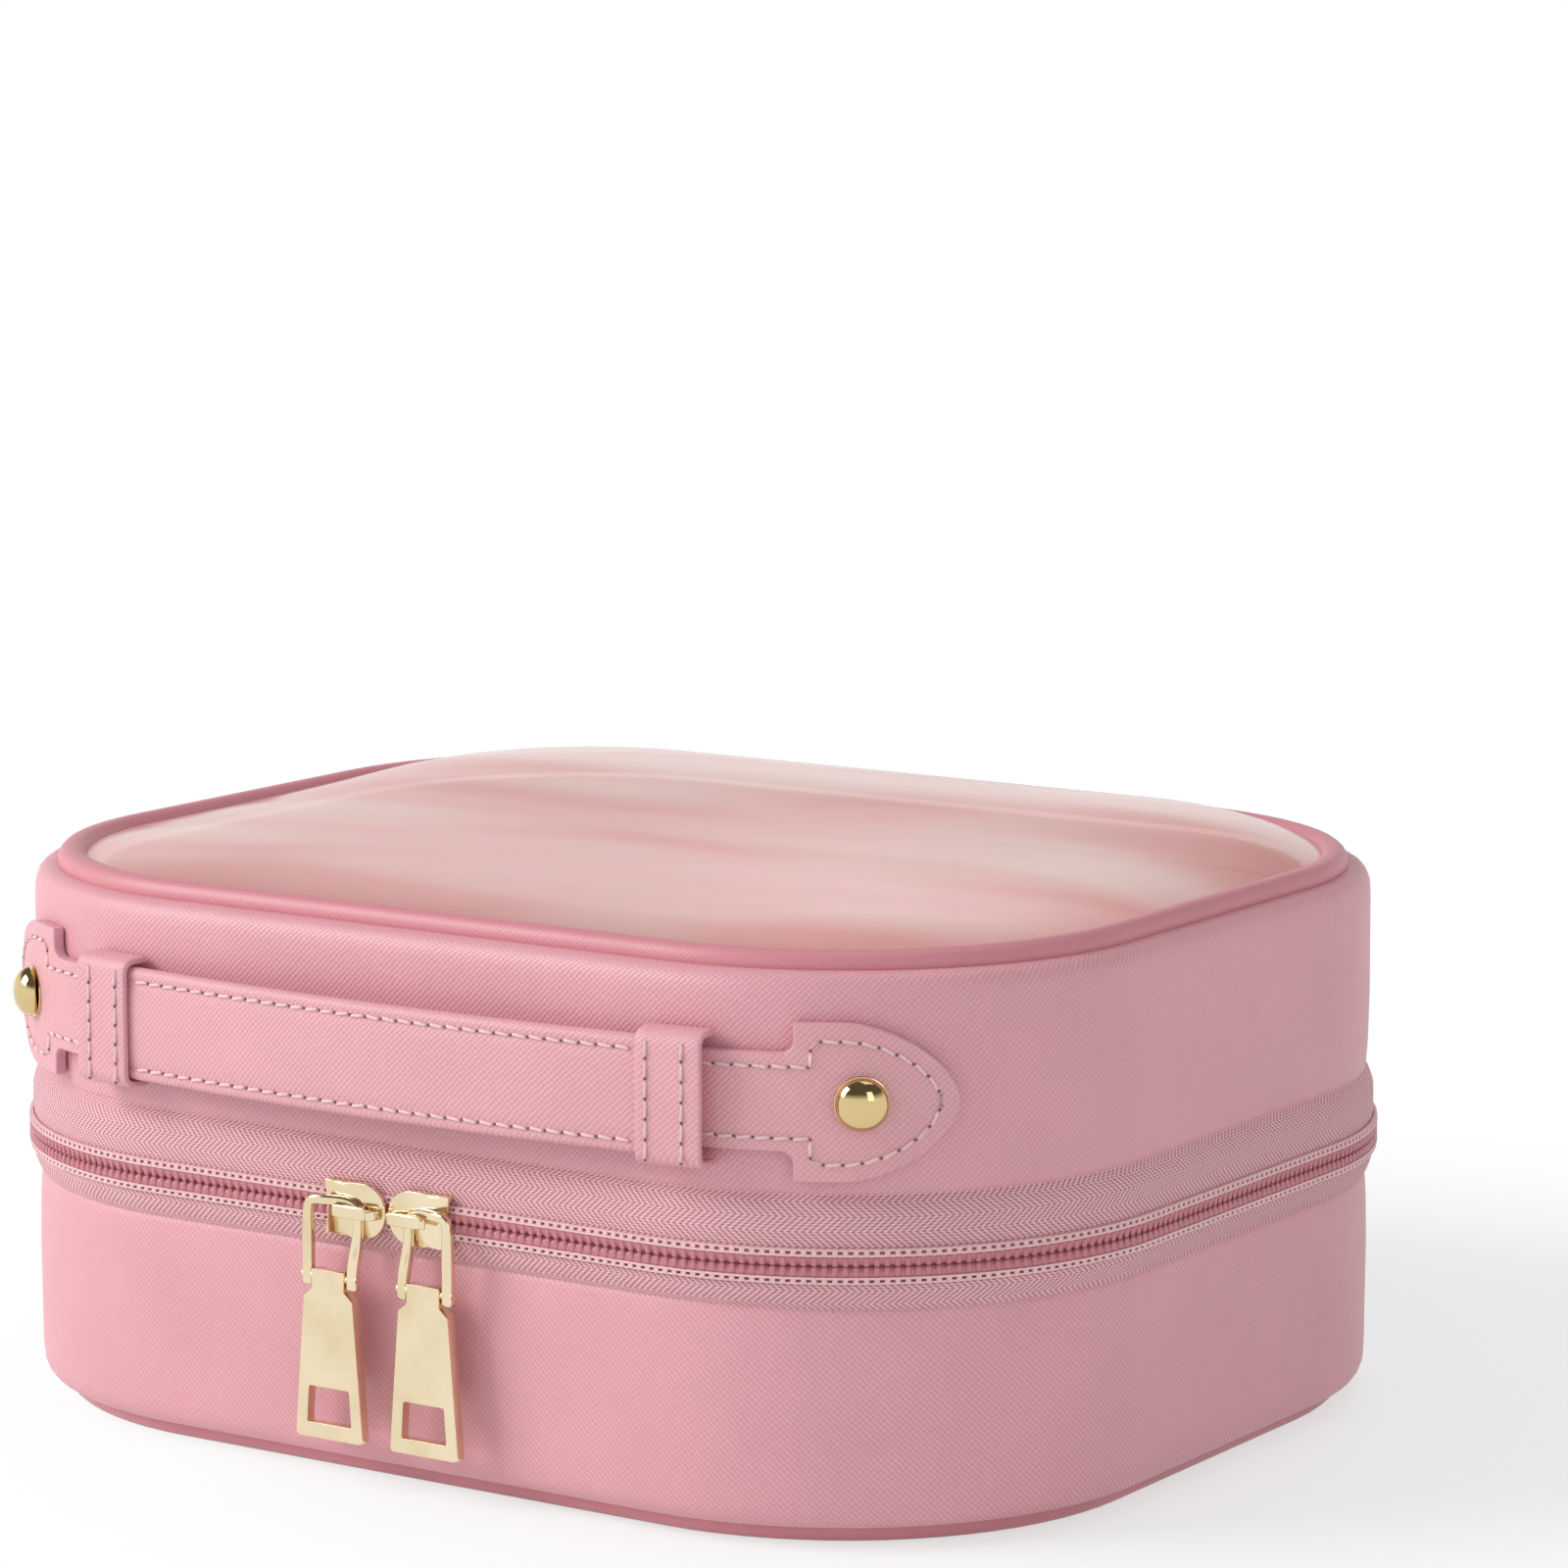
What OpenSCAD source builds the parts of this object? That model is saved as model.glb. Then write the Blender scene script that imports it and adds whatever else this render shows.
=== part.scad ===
// Makeup train case: two padded halves with clear windows, joined by a fabric spine
// and closed by a zip. Sizes in millimetres, +Z up. The origin is the middle of the
// underside. -Y is the front, with the handle and the zip pulls; +Y is the spine.

/* [Case] */
// Width over the walls
case_w = 224; // [212:1:250]
// Depth over the walls
case_d = 184; // [176:1:206]
// Plan radius of the corners, at the wall face
corner_r = 60; // [57:0.5:63]
// Height of the lower half's wall
base_h = 41; // [38:0.5:50]
// Height of the upper half's wall
lid_h = 40; // [38:0.5:50]
// Height of the zip band between the two walls
band_h = 19; // [18.5:0.25:21]
// Height of the lower tape, up to the parting plane
lower_tape_h = 7.5; // [7:0.25:8.25]

/* [Wall layers] */
// Thickness of the outer cover
cover_t = 1.2; // [0.9:0.1:1.4]
// Thickness of the stiffening board
core_t = 2; // [1.2:0.1:2.2]
// Thickness of the lining
lining_t = 0.6; // [0.4:0.1:0.7]
// Glue line between layers
glue = 0.1; // [0.06:0.02:0.12]
// Radius of the rounded shoulder at top and bottom
shoulder_r = 6.5; // [5.5:0.25:8]
// Turn of the shoulder, from the wall towards the window
shoulder_turn = 80; // [72:1:82]

/* [Edge seams] */
// Radius of the piping cord
pipe_r = 2.2; // [1.9:0.1:2.5]
// Depth of the flat worn on the piping
pipe_flat = 0.3; // [0.2:0.05:0.5]
// Thickness of the clear window
window_t = 0.8; // [0.6:0.1:1]
// Width of the seam binding inside the window
seam_w = 8; // [6.5:0.5:10]
// Thickness of the seam binding
seam_t = 1.1; // [0.8:0.1:1.5]
// Radius of the rolled rim binding
roll_r = 2; // [1.6:0.1:2.1]

/* [Zip] */
// Radius of one half of the coil
coil_r = 1.15; // [1:0.05:1.2]
// Gap between the two halves of the coil
coil_gap = 1; // [0.9:0.05:1.2]
// How far the coil stands out of the wall face
coil_out = 1; // [0.9:0.05:1.2]
// Turn of the tape round each back corner
tape_turn = 78; // [74:0.5:78]
// Turn of the coil round each back corner
coil_turn = 74; // [68:0.5:74]

/* [Zip sliders] */
// Length of a slider along the zip
slider_l = 13; // [11:0.5:14]
// Height of a slider across the zip
slider_h = 10; // [9.5:0.25:10.5]
// Thickness of the outer plate
slider_t = 1.15; // [1:0.05:1.3]
// Gap between the two sliders where they meet
slider_gap = 0.5; // [0.4:0.1:1]
// Width of the crown lug
lug_w = 6; // [4.6:0.2:6.2]
// Outer radius of the crown lug
lug_r = 2.3; // [2.1:0.1:2.5]
// How far the crown lug sits off the slider's middle, away from the other slider
lug_off = 3.4; // [2.6:0.1:3.4]

/* [Pulls] */
// Radius of the bail's wire
bail_wire_r = 0.95; // [0.85:0.05:1]
// Width of the bail, over its legs
bail_w = 11.4; // [11.2:0.2:12.4]
// Distance from the crown to the pin
bail_drop = 11.6; // [10.6:0.2:13]
// Radius of the bail's pin
pin_r = 0.75; // [0.65:0.05:0.8]
// Running clearance of pins and of the bail in its lug
run_fit = 0.08; // [0.05:0.01:0.1]
// Length of the pull tab below its pin
tab_l = 28.5; // [24:0.5:30]
// Width of the pull tab at its lower end
tab_w = 14.3; // [12.5:0.1:14.5]
// Width of the pull tab below its shoulders
tab_top_w = 10.4; // [9.6:0.1:11]
// Thickness of the pull tab
tab_t = 1.9; // [1.6:0.1:2.1]
// Height of the window in the tab
tab_hole_h = 6.5; // [5:0.25:7]

/* [Handle] */
// Height of the handle's middle above the floor
handle_z = 76; // [75:0.5:79]
// Width of the grip strap
strap_w = 20; // [18:0.5:21]
// Thickness of the grip strap
strap_t = 2.6; // [2:0.1:3]
// Finger gap behind the strap, at the middle
strap_off = 6; // [5.5:0.25:9]
// Half length of the strap
strap_half = 63.5; // [62:0.5:65]
// Thickness of the end tabs
end_t = 2.1; // [1.8:0.1:2.2]
// Width of a tab's neck
neck_w = 16.5; // [14:0.5:17.5]
// Height of the spade on a tab
spade_h = 26.5; // [23:0.5:27]
// Length of the spade, rivet to notch
spade_back = 11; // [9.5:0.5:12]
// Length of the spade, rivet to tip
spade_tip = 16; // [14:0.5:17]
// Turn of the rivets round the front corners
rivet_turn = 35.5; // [34:0.5:38]
// Radius of a rivet's dome
rivet_r = 4.8; // [4:0.1:5.2]
// Height of a rivet's dome
rivet_h = 3; // [2.4:0.1:3.4]
// Radius of a rivet's post
post_r = 1.6; // [1.2:0.1:1.8]
// Width of a keeper loop along the strap
keeper_w = 12; // [10:0.5:12.5]
// Thickness of a keeper loop
keeper_t = 1.3; // [1:0.1:1.5]

/* [Spine] */
// Length of the spine along the back
spine_w = 128; // [120:1:128]
// Thickness of the spine's cover
spine_cover_t = 1.1; // [0.9:0.1:1.2]
// Thickness of the spine's board
spine_board_t = 1.4; // [1:0.1:1.4]

/* [Pouches] */
// Width of a pouch
page_w = 188; // [170:1:192]
// Depth of a pouch
page_d = 144; // [130:1:148]
// Corner radius of a pouch
page_r = 36; // [32:1:40]
// Thickness of a pouch at its binding
page_t = 2.6; // [2.2:0.1:2.8]
// Width of the pouch's edge binding
page_bind_w = 5; // [4:0.25:6]
// Thickness of a pouch's clear sheet
sheet_t = 0.5; // [0.4:0.05:0.6]
// Distance between the two pouches' middle planes
page_apart = 13; // [12.6:0.1:13]
// Distance from a pouch's back edge to its zip
page_zip_in = 27; // [24:0.5:30]
// How much further forward the upper pouch's zip lies
page_zip_step = 13; // [11:0.5:16]
// Width of a pouch zip's tape
page_tape_w = 20; // [17:0.5:22]
// Length of a pouch's pull
page_pull_l = 22; // [18:0.5:24]
// Length of the fabric strip that hinges a pouch
strip_l = 104; // [90:1:116]

/* [Hidden] */
$fn = 64;
rim_z = base_h;
lid_rim_z = base_h + band_h;
part_z = base_h + lower_tape_h;
total_h = base_h + band_h + lid_h;
upper_tape_h = band_h - lower_tape_h;
mid_z = base_h + band_h/2;
run_x = case_w/2 - corner_r;
run_y = case_d/2 - corner_r;
front_y = -case_d/2;
back_y = case_d/2;
shell_t = cover_t + core_t + lining_t + 2*glue;
seam_z = pipe_r - pipe_flat - 0.9;
bend_z = seam_z + shoulder_r;
pipe_z = pipe_r - pipe_flat;
pipe_in = shoulder_r - (shoulder_r - cover_t)*cos(shoulder_turn) + pipe_r + 0.15;
window_in = pipe_in + sqrt(pipe_r*pipe_r - (pipe_z - window_t)*(pipe_z - window_t)) + 0.1;
seam_top_z = pipe_z + pipe_r + glue;
coil_min = coil_out - coil_r;
coil_max = coil_out + coil_r;
tape_t = 0.85;
coil_drop = coil_gap/2 + coil_r;
tape_end = coil_gap/2 + 2*coil_r + 0.1;
side_gap = 0.3;
inner_plate_t = 0.95;
inner_gap = 0.75;
inner_plate_o = coil_min - inner_gap - inner_plate_t;
outer_plate_o = coil_max + side_gap;
crown_o = outer_plate_o + slider_t + lug_r - 0.15;
slider_x = (slider_l + slider_gap)/2;
leg_x = bail_w/2 - bail_wire_r;
elbow_r = 1.35;
eye_r = pin_r + 0.95;
eye_w = 2*bail_wire_r + 0.2;
knuckle_w = 2*leg_x - eye_w - 0.6;
strap_z = handle_z - strap_w/2;
strap_end_o = end_t + 0.8;
strap_end_x = strap_half + 2;
strap_end_y = corner_r - sqrt(corner_r*corner_r - pow(max(strap_end_x - run_x, 0), 2));
strap_sag = strap_off + strap_end_y - strap_end_o;
bow_r = strap_end_x*strap_end_x/(2*strap_sag) + strap_sag/2;
bow_reach = 20;
end_o = 0.3;
keeper_x = strap_half + 2.4 - keeper_w;
neck_turn = asin((strap_half - 8 - run_x)/corner_r);
spade_bulge = 2;
lens_t = spade_tip + spade_bulge;
lens_r = (lens_t*lens_t + spade_h*spade_h/4)/spade_h;
neck_u = (corner_r + end_o)*sin(rivet_turn - neck_turn);
rivet_o = end_o + end_t + 0.05;
washer_t = 0.8;
washer_r = 4;
washer_o = -shell_t - 0.2 - washer_t;
spine_out = 0.9;
spine_in = spine_cover_t + spine_board_t + lining_t + 2*glue - spine_out;
hinge_r = 0.9;
hinge_y = back_y - spine_in - side_gap - hinge_r;
page_z = mid_z - page_apart/2;
page_back_y = back_y - 14;
page_mid_y = page_back_y - page_d/2;
strip_t = 0.7;
hinge_z = page_z + page_apart/2 - 1.2;
page_in = page_bind_w + glue;
page_coil_r = 0.9;
page_zip_end = 10;
page_zip_l = page_w - 2*page_zip_end;
page_slider_in = 24;
page_slider_x = page_w/2 - page_slider_in;
pull_z = 4.2;
pull_pin_r = 0.6;

// Points on an arc
function arc(x, y, r, from, to, n) =
  [for (i = [0:n]) [x + r*cos(from + (to - from)*i/n), y + r*sin(from + (to - from)*i/n)]];

// Rounded rectangle about the origin
module plate(w, d, r) {
  square([w - 2*r, d], center = true);
  square([w, d - 2*r], center = true);
  for (x = [-1, 1], y = [-1, 1])
    translate([x*(w/2 - r), y*(d/2 - r)]) circle(r);
}

// One straight run of a wall profile; the profile's x is measured outwards
module straight_run(reach, length, facing) {
  rotate([0, 0, facing])
    translate([reach, 0, 0])
      rotate([90, 0, 0])
        linear_extrude(length, center = true)
          children();
}

// One right-hand corner of a wall profile, at the front (-1) or the back (1)
module corner_run(y, from, turn) {
  translate([run_x, y*run_y, 0])
    rotate([0, 0, from])
      rotate_extrude(angle = turn)
        translate([corner_r, 0])
          children();
}

// A profile led round the front and sides, ending on the back corners
module zip_round(turn) {
  straight_run(case_d/2, 2*run_x, -90) children();
  both_sides() {
    corner_run(-1, -90, 90) children();
    straight_run(case_w/2, 2*run_y, 0) children();
    corner_run(1, 0, turn) children();
  }
}

// A profile led all round the case
module all_round() {
  zip_round(90) children();
  straight_run(case_d/2, 2*run_x, 90) children();
}

// The upper half is the lower half's construction turned over
module as_lid() {
  translate([0, 0, total_h])
    mirror([0, 0, 1])
      children();
}

// Right-hand front corner, with +X along the rivet
module at_rivet() {
  translate([run_x, -run_y, handle_z])
    rotate([0, 0, rivet_turn - 90])
      children();
}

module both_sides() {
  children();
  mirror([1, 0, 0]) children();
}

module rivet_bores() {
  both_sides()
    at_rivet()
      translate([corner_r - 12, 0, 0])
        rotate([0, 90, 0])
          cylinder(r = post_r + run_fit, h = 20);
}

// Outer cover: wall with its rounded shoulder
module wall_profile(h) {
  translate([-cover_t, bend_z])
    square([cover_t, h - bend_z]);
  translate([-shoulder_r, bend_z])
    intersection() {
      difference() {
        circle(shoulder_r);
        circle(shoulder_r - cover_t);
      }
      polygon([
        [0, 0],
        [2*shoulder_r, 0],
        [2*shoulder_r*cos(shoulder_turn), -2*shoulder_r*sin(shoulder_turn)]
      ]);
    }
}

module core_profile(h) {
  translate([-cover_t - glue - core_t, bend_z])
    square([core_t, h - bend_z - 0.2]);
}

module lining_profile(h) {
  translate([-shell_t, seam_top_z])
    square([lining_t, h - seam_top_z]);
}

module piping_profile() {
  difference() {
    translate([-pipe_in, pipe_z]) circle(pipe_r);
    translate([-pipe_in - 2*pipe_r, -2*pipe_r]) square([4*pipe_r, 2*pipe_r]);
  }
}

module seam_profile() {
  translate([-shell_t - glue - seam_w, seam_top_z])
    square([seam_w, seam_t]);
}

module roll_profile(h) {
  translate([-spine_in - 0.4 - roll_r, h + 0.1 + roll_r])
    circle(roll_r);
}

// Tape: out of the wall's edge and bulging out to the coil
module tape_profile(h, reach) {
  top = h + reach - tape_end;
  polygon([
    [-0.2, h + 0.1],
    [coil_out + 0.05, h + 2.4],
    [coil_out + 0.3, top],
    [coil_out + 0.3 - tape_t, top],
    [coil_out + 0.05 - tape_t, h + 3],
    [-1.05, h + 0.1]
  ]);
}

module coil_profile(h, reach) {
  translate([coil_out, h + reach - coil_drop])
    circle(coil_r);
}

module window_plate() {
  linear_extrude(window_t)
    plate(case_w - 2*window_in, case_d - 2*window_in, corner_r - window_in);
}

module base_wall() {
  color("#e7a3ad") all_round() wall_profile(base_h);
}

module base_core() {
  color("#b9b0a4") all_round() core_profile(base_h);
}

module base_lining() {
  color("#d98b9a") all_round() lining_profile(base_h);
}

module base_piping() {
  color("#e7a3ad") all_round() piping_profile();
}

module base_window() {
  color("#e8f0f2", 0.3) window_plate();
}

module base_seam_binding() {
  color("#e0949f") all_round() seam_profile();
}

module base_rim_binding() {
  color("#f4d3d3") all_round() roll_profile(base_h);
}

module base_zip_tape() {
  color("#e39fa9") zip_round(tape_turn) tape_profile(base_h, lower_tape_h);
}

module base_zip_coil() {
  color("#e9aab2") zip_round(coil_turn) coil_profile(base_h, lower_tape_h);
}

module lid_wall() {
  color("#e7a3ad")
    difference() {
      as_lid() all_round() wall_profile(lid_h);
      rivet_bores();
    }
}

module lid_core() {
  color("#b9b0a4")
    difference() {
      as_lid() all_round() core_profile(lid_h);
      rivet_bores();
    }
}

module lid_lining() {
  color("#d98b9a")
    difference() {
      as_lid() all_round() lining_profile(lid_h);
      rivet_bores();
    }
}

module lid_piping() {
  color("#e7a3ad") as_lid() all_round() piping_profile();
}

module lid_window() {
  color("#e8f0f2", 0.3) as_lid() window_plate();
}

module lid_seam_binding() {
  color("#e0949f") as_lid() all_round() seam_profile();
}

module lid_rim_binding() {
  color("#f4d3d3") as_lid() all_round() roll_profile(lid_h);
}

module lid_zip_tape() {
  color("#e39fa9") as_lid() zip_round(tape_turn) tape_profile(lid_h, upper_tape_h);
}

module lid_zip_coil() {
  color("#e9aab2") as_lid() zip_round(coil_turn) coil_profile(lid_h, upper_tape_h);
}

// Outline of an end tab: the neck, square notches, and a spade with a blunt point
module end_outline() {
  h = spade_h/2;
  tip = asin(lens_t/lens_r);
  polygon(concat(
    [[-neck_u, -neck_w/2], [-spade_back, -neck_w/2], [-spade_back, -h]],
    arc(-spade_bulge, lens_r - h, lens_r, 270, 270 + tip, 10),
    arc(-spade_bulge, h - lens_r, lens_r, 90 - 0.9*tip, 90, 9),
    [[-spade_back, h], [-spade_back, neck_w/2], [-neck_u, neck_w/2]]
  ));
}

module end_ring() {
  difference() {
    circle(corner_r + end_o + end_t);
    circle(corner_r + end_o);
  }
}

module end_tab() {
  difference() {
    intersection() {
      translate([run_x, -run_y, handle_z - spade_h/2 - 1])
        linear_extrude(spade_h + 2)
          end_ring();
      at_rivet()
        translate([corner_r/2, 0, 0])
          rotate([90, 0, 90])
            linear_extrude(corner_r)
              end_outline();
    }
    rivet_bores();
  }
}

module handle_tab_right() {
  color("#e7a3ad") end_tab();
}

module handle_tab_left() {
  color("#e7a3ad") mirror([1, 0, 0]) end_tab();
}

module handle_rivets() {
  dome = (rivet_r*rivet_r + rivet_h*rivet_h)/(2*rivet_h);
  post = rivet_o - washer_o;
  color("#c9a063")
    both_sides()
      at_rivet()
        translate([corner_r + rivet_o, 0, 0])
          rotate([0, 90, 0])
            rotate_extrude() {
              intersection() {
                translate([0, rivet_h - dome]) circle(dome);
                square([rivet_r, rivet_h]);
              }
              translate([0, -post]) square([post_r, post]);
            }
}

module rivet_washers() {
  color("#c9a063")
    both_sides()
      at_rivet()
        translate([corner_r + washer_o, 0, 0])
          rotate([0, 90, 0])
            difference() {
              cylinder(r = washer_r, h = washer_t);
              translate([0, 0, -1]) cylinder(r = post_r + run_fit, h = washer_t + 2);
            }
}

// Band that follows the bowed strap, between two depths and two x values
module bow_band(inner, outer, x0, x1) {
  translate([0, front_y - strap_off + bow_r])
    intersection() {
      difference() {
        circle(bow_r + outer, $fn = 720);
        circle(bow_r + inner, $fn = 720);
      }
      translate([x0, -bow_r - bow_reach]) square([x1 - x0, 2*bow_reach]);
    }
}

module handle_strap() {
  color("#e7a3ad")
    translate([0, 0, strap_z])
      linear_extrude(strap_w)
        bow_band(0, strap_t, -strap_half, strap_half);
}

// Keeper: a loop over the strap, open towards the wall
module keeper() {
  x1 = keeper_x + keeper_w;
  out = strap_t + glue;
  tall = strap_w + 2*glue + 2*keeper_t;
  translate([0, 0, handle_z - tall/2])
    linear_extrude(tall)
      bow_band(out, out + keeper_t, keeper_x, x1);
  for (z = [handle_z - tall/2, handle_z + tall/2 - keeper_t])
    translate([0, 0, z])
      linear_extrude(keeper_t)
        bow_band(-1.9, out + keeper_t, keeper_x, x1);
}

module keeper_right() {
  color("#e7a3ad") keeper();
}

module keeper_left() {
  color("#e7a3ad") mirror([1, 0, 0]) keeper();
}

module spine_layer(from, thick) {
  translate([-spine_w/2, back_y + spine_out - from - thick, rim_z + side_gap])
    cube([spine_w, thick, band_h - 2*side_gap]);
}

module spine_cover() {
  color("#e7a3ad") spine_layer(0, spine_cover_t);
}

module spine_board() {
  color("#b9b0a4") spine_layer(spine_cover_t + glue, spine_board_t);
}

module spine_lining() {
  color("#f4d3d3") spine_layer(spine_cover_t + spine_board_t + 2*glue, lining_t);
}

// Plate lying along the front of the case, from one depth outwards
module front_plate(from, thick) {
  translate([0, -from, 0])
    rotate([90, 0, 0])
      linear_extrude(thick)
        children();
}

module slider_shape(side) {
  front_plate(inner_plate_o, inner_plate_t) plate(slider_l, slider_h, 2.5);
  front_plate(outer_plate_o, slider_t) plate(slider_l, slider_h, 2.5);
  front_plate(inner_plate_o, outer_plate_o - inner_plate_o + 0.5)
    square([5, coil_gap - 0.44], center = true);
  front_plate(outer_plate_o - 0.7, 1)
    translate([0, 0.35 - slider_h/2]) square([slider_l - 6, 0.7], center = true);
  translate([side*lug_off - lug_w/2, 0, 0])
    rotate([90, 0, 90])
      linear_extrude(lug_w)
        difference() {
          union() {
            translate([-crown_o, 0]) circle(lug_r);
            polygon([
              [-outer_plate_o - slider_t + 0.3, -lug_r - 0.8],
              [-outer_plate_o - slider_t + 0.3, lug_r + 0.8],
              [-crown_o, lug_r - 0.3],
              [-crown_o, 0.3 - lug_r]
            ]);
          }
          translate([-crown_o, 0]) circle(bail_wire_r + run_fit);
        }
}

module bail_shape() {
  rotate([0, 90, 0]) cylinder(r = bail_wire_r, h = 2*(leg_x - elbow_r), center = true);
  both_sides() {
    translate([leg_x - elbow_r, 0, -elbow_r])
      rotate([90, 0, 0])
        rotate_extrude(angle = 90)
          translate([elbow_r, 0])
            circle(bail_wire_r);
    difference() {
      union() {
        translate([leg_x, 0, -bail_drop])
          cylinder(r = bail_wire_r, h = bail_drop - elbow_r);
        translate([leg_x, 0, -bail_drop])
          rotate([0, 90, 0])
            cylinder(r = eye_r, h = eye_w, center = true);
      }
      translate([leg_x, 0, -bail_drop])
        rotate([0, 90, 0])
          cylinder(r = pin_r + 0.02, h = eye_w + 2, center = true);
    }
  }
}

module bail_pin_shape() {
  translate([0, 0, -bail_drop])
    rotate([0, 90, 0])
      cylinder(r = pin_r, h = 2*leg_x + eye_w, center = true);
}

module pull_outline() {
  c = 0.8;
  half = tab_w/2;
  polygon(concat(
    [[-knuckle_w/2, 0], [-knuckle_w/2, -2.2]],
    [[-tab_top_w/2, -3.6]],
    arc(c - half, c - tab_l, c, 180, 270, 6),
    arc(half - c, c - tab_l, c, 270, 360, 6),
    [[tab_top_w/2, -3.6]],
    [[knuckle_w/2, -2.2], [knuckle_w/2, 0]]
  ));
}

module pull_shape() {
  hole_z = 2.6 - tab_l;
  difference() {
    union() {
      translate([0, tab_t/2, 0])
        rotate([90, 0, 0])
          linear_extrude(tab_t)
            difference() {
              pull_outline();
              polygon([
                [-tab_w/2 + 2.4, hole_z],
                [tab_w/2 - 2.4, hole_z],
                [tab_w/2 - 2.8, hole_z + tab_hole_h],
                [2.8 - tab_w/2, hole_z + tab_hole_h]
              ]);
            }
      rotate([0, 90, 0]) cylinder(r = eye_r, h = knuckle_w, center = true);
    }
    rotate([0, 90, 0]) cylinder(r = pin_r + run_fit, h = knuckle_w + 2, center = true);
  }
}

module at_slider(side) {
  translate([side*slider_x, front_y, part_z]) children();
}

module at_crown(side) {
  at_slider(side) translate([side*lug_off, -crown_o, 0]) children();
}

module slider_left() {
  color("#cfa669") at_slider(-1) slider_shape(-1);
}

module slider_right() {
  color("#cfa669") at_slider(1) slider_shape(1);
}

module bail_left() {
  color("#cfa669") at_crown(-1) bail_shape();
}

module bail_right() {
  color("#cfa669") at_crown(1) bail_shape();
}

module bail_pin_left() {
  color("#cfa669") at_crown(-1) bail_pin_shape();
}

module bail_pin_right() {
  color("#cfa669") at_crown(1) bail_pin_shape();
}

module pull_left() {
  color("#cfa669") at_crown(-1) translate([0, 0, -bail_drop]) pull_shape();
}

module pull_right() {
  color("#cfa669") at_crown(1) translate([0, 0, -bail_drop]) pull_shape();
}

// Pouch: built for the lower one, about its own middle plane
module page_plan(inset) {
  translate([0, page_mid_y])
    plate(page_w - 2*inset, page_d - 2*inset, page_r - inset);
}

module at_page() {
  translate([0, 0, page_z]) children();
}

// The upper pouch is the lower one turned over, with its slider at the other end
module as_upper() {
  translate([0, 0, 2*mid_z])
    rotate([0, 180, 0])
      children();
}

module page_binding() {
  at_page()
    translate([0, 0, -page_t/2])
      linear_extrude(page_t)
        difference() {
          page_plan(0);
          page_plan(page_bind_w);
        }
}

module page_back() {
  at_page()
    translate([0, 0, -2*sheet_t])
      linear_extrude(sheet_t)
        page_plan(page_in);
}

module page_front(zip_in) {
  at_page()
    translate([0, 0, sheet_t])
      linear_extrude(sheet_t)
        difference() {
          page_plan(page_in);
          translate([-page_w, page_back_y - zip_in - page_tape_w/2 - glue])
            square([2*page_w, page_tape_w + 2*glue]);
        }
}

module page_tape(zip_in) {
  at_page()
    translate([0, 0, sheet_t])
      linear_extrude(0.6)
        intersection() {
          page_plan(page_in);
          translate([0, page_back_y - zip_in])
            for (s = [-1, 1])
              translate([-page_w/2, s*(page_tape_w/4 + 1) - (page_tape_w/4 - 1)])
                square([page_w, page_tape_w/2 - 2]);
        }
}

module page_coil(zip_in) {
  at_page()
    for (s = [-1, 1])
      translate([0, page_back_y - zip_in + s*(page_coil_r + 0.08), 0.95])
        rotate([0, 90, 0])
          cylinder(r = page_coil_r, h = page_zip_l, center = true);
}

module page_strip() {
  z = page_z + page_t/2 + glue;
  rotate([90, 0, 90])
    linear_extrude(strip_l, center = true) {
      polygon([
        [page_back_y - 6, z],
        [page_back_y - 0.5, z],
        [hinge_y, hinge_z - strip_t/2],
        [hinge_y, hinge_z + strip_t/2],
        [page_back_y - 0.8, z + strip_t],
        [page_back_y - 6, z + strip_t]
      ]);
      translate([hinge_y, hinge_z]) circle(hinge_r);
    }
}

module at_page_slider(zip_in) {
  translate([-page_slider_x, page_back_y - zip_in, page_z]) children();
}

module page_slider(zip_in) {
  at_page_slider(zip_in) {
    translate([0, 0, 2.15]) linear_extrude(0.95) plate(9, 6.8, 1.5);
    for (s = [-1, 1])
      translate([0, s*2.8, 1.8]) cube([7, 1.2, 0.9], center = true);
    rotate([90, 0, 0])
      linear_extrude(2.2, center = true)
        difference() {
          union() {
            translate([0, pull_z]) circle(1.5);
            translate([-1.9, 2.6]) square([3.8, pull_z - 2.6]);
          }
          translate([0, pull_z]) circle(pull_pin_r + run_fit);
        }
  }
}

module page_pull(zip_in) {
  at_page_slider(zip_in)
    translate([0, 0, pull_z]) {
      rotate([90, 0, 0]) cylinder(r = pull_pin_r, h = 5, center = true);
      for (s = [-1, 1]) {
        translate([0, s*1.9, 0]) rotate([90, 0, 0]) cylinder(r = 0.95, h = 1.2, center = true);
        translate([1.9, s*1.9, 0]) cube([3.8, 1.2, 1.2], center = true);
      }
      translate([0, 0, -0.6])
        linear_extrude(1.2)
          polygon([
            [3.2, -2.5],
            [page_pull_l, -3.2],
            [page_pull_l, 3.2],
            [3.2, 2.5]
          ]);
    }
}

module page_lower_binding() {
  color("#e39fa9") page_binding();
}

module page_lower_back() {
  color("#e8f0f2", 0.3) page_back();
}

module page_lower_front() {
  color("#e8f0f2", 0.3) page_front(page_zip_in);
}

module page_lower_tape() {
  color("#e39fa9") page_tape(page_zip_in);
}

module page_lower_coil() {
  color("#e9aab2") page_coil(page_zip_in);
}

module page_lower_strip() {
  color("#f4d3d3") page_strip();
}

module page_lower_slider() {
  color("#cfa669") page_slider(page_zip_in);
}

module page_lower_pull() {
  color("#cfa669") page_pull(page_zip_in);
}

module page_upper_binding() {
  color("#e39fa9") as_upper() page_binding();
}

module page_upper_back() {
  color("#e8f0f2", 0.3) as_upper() page_back();
}

module page_upper_front() {
  color("#e8f0f2", 0.3) as_upper() page_front(page_zip_in + page_zip_step);
}

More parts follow.
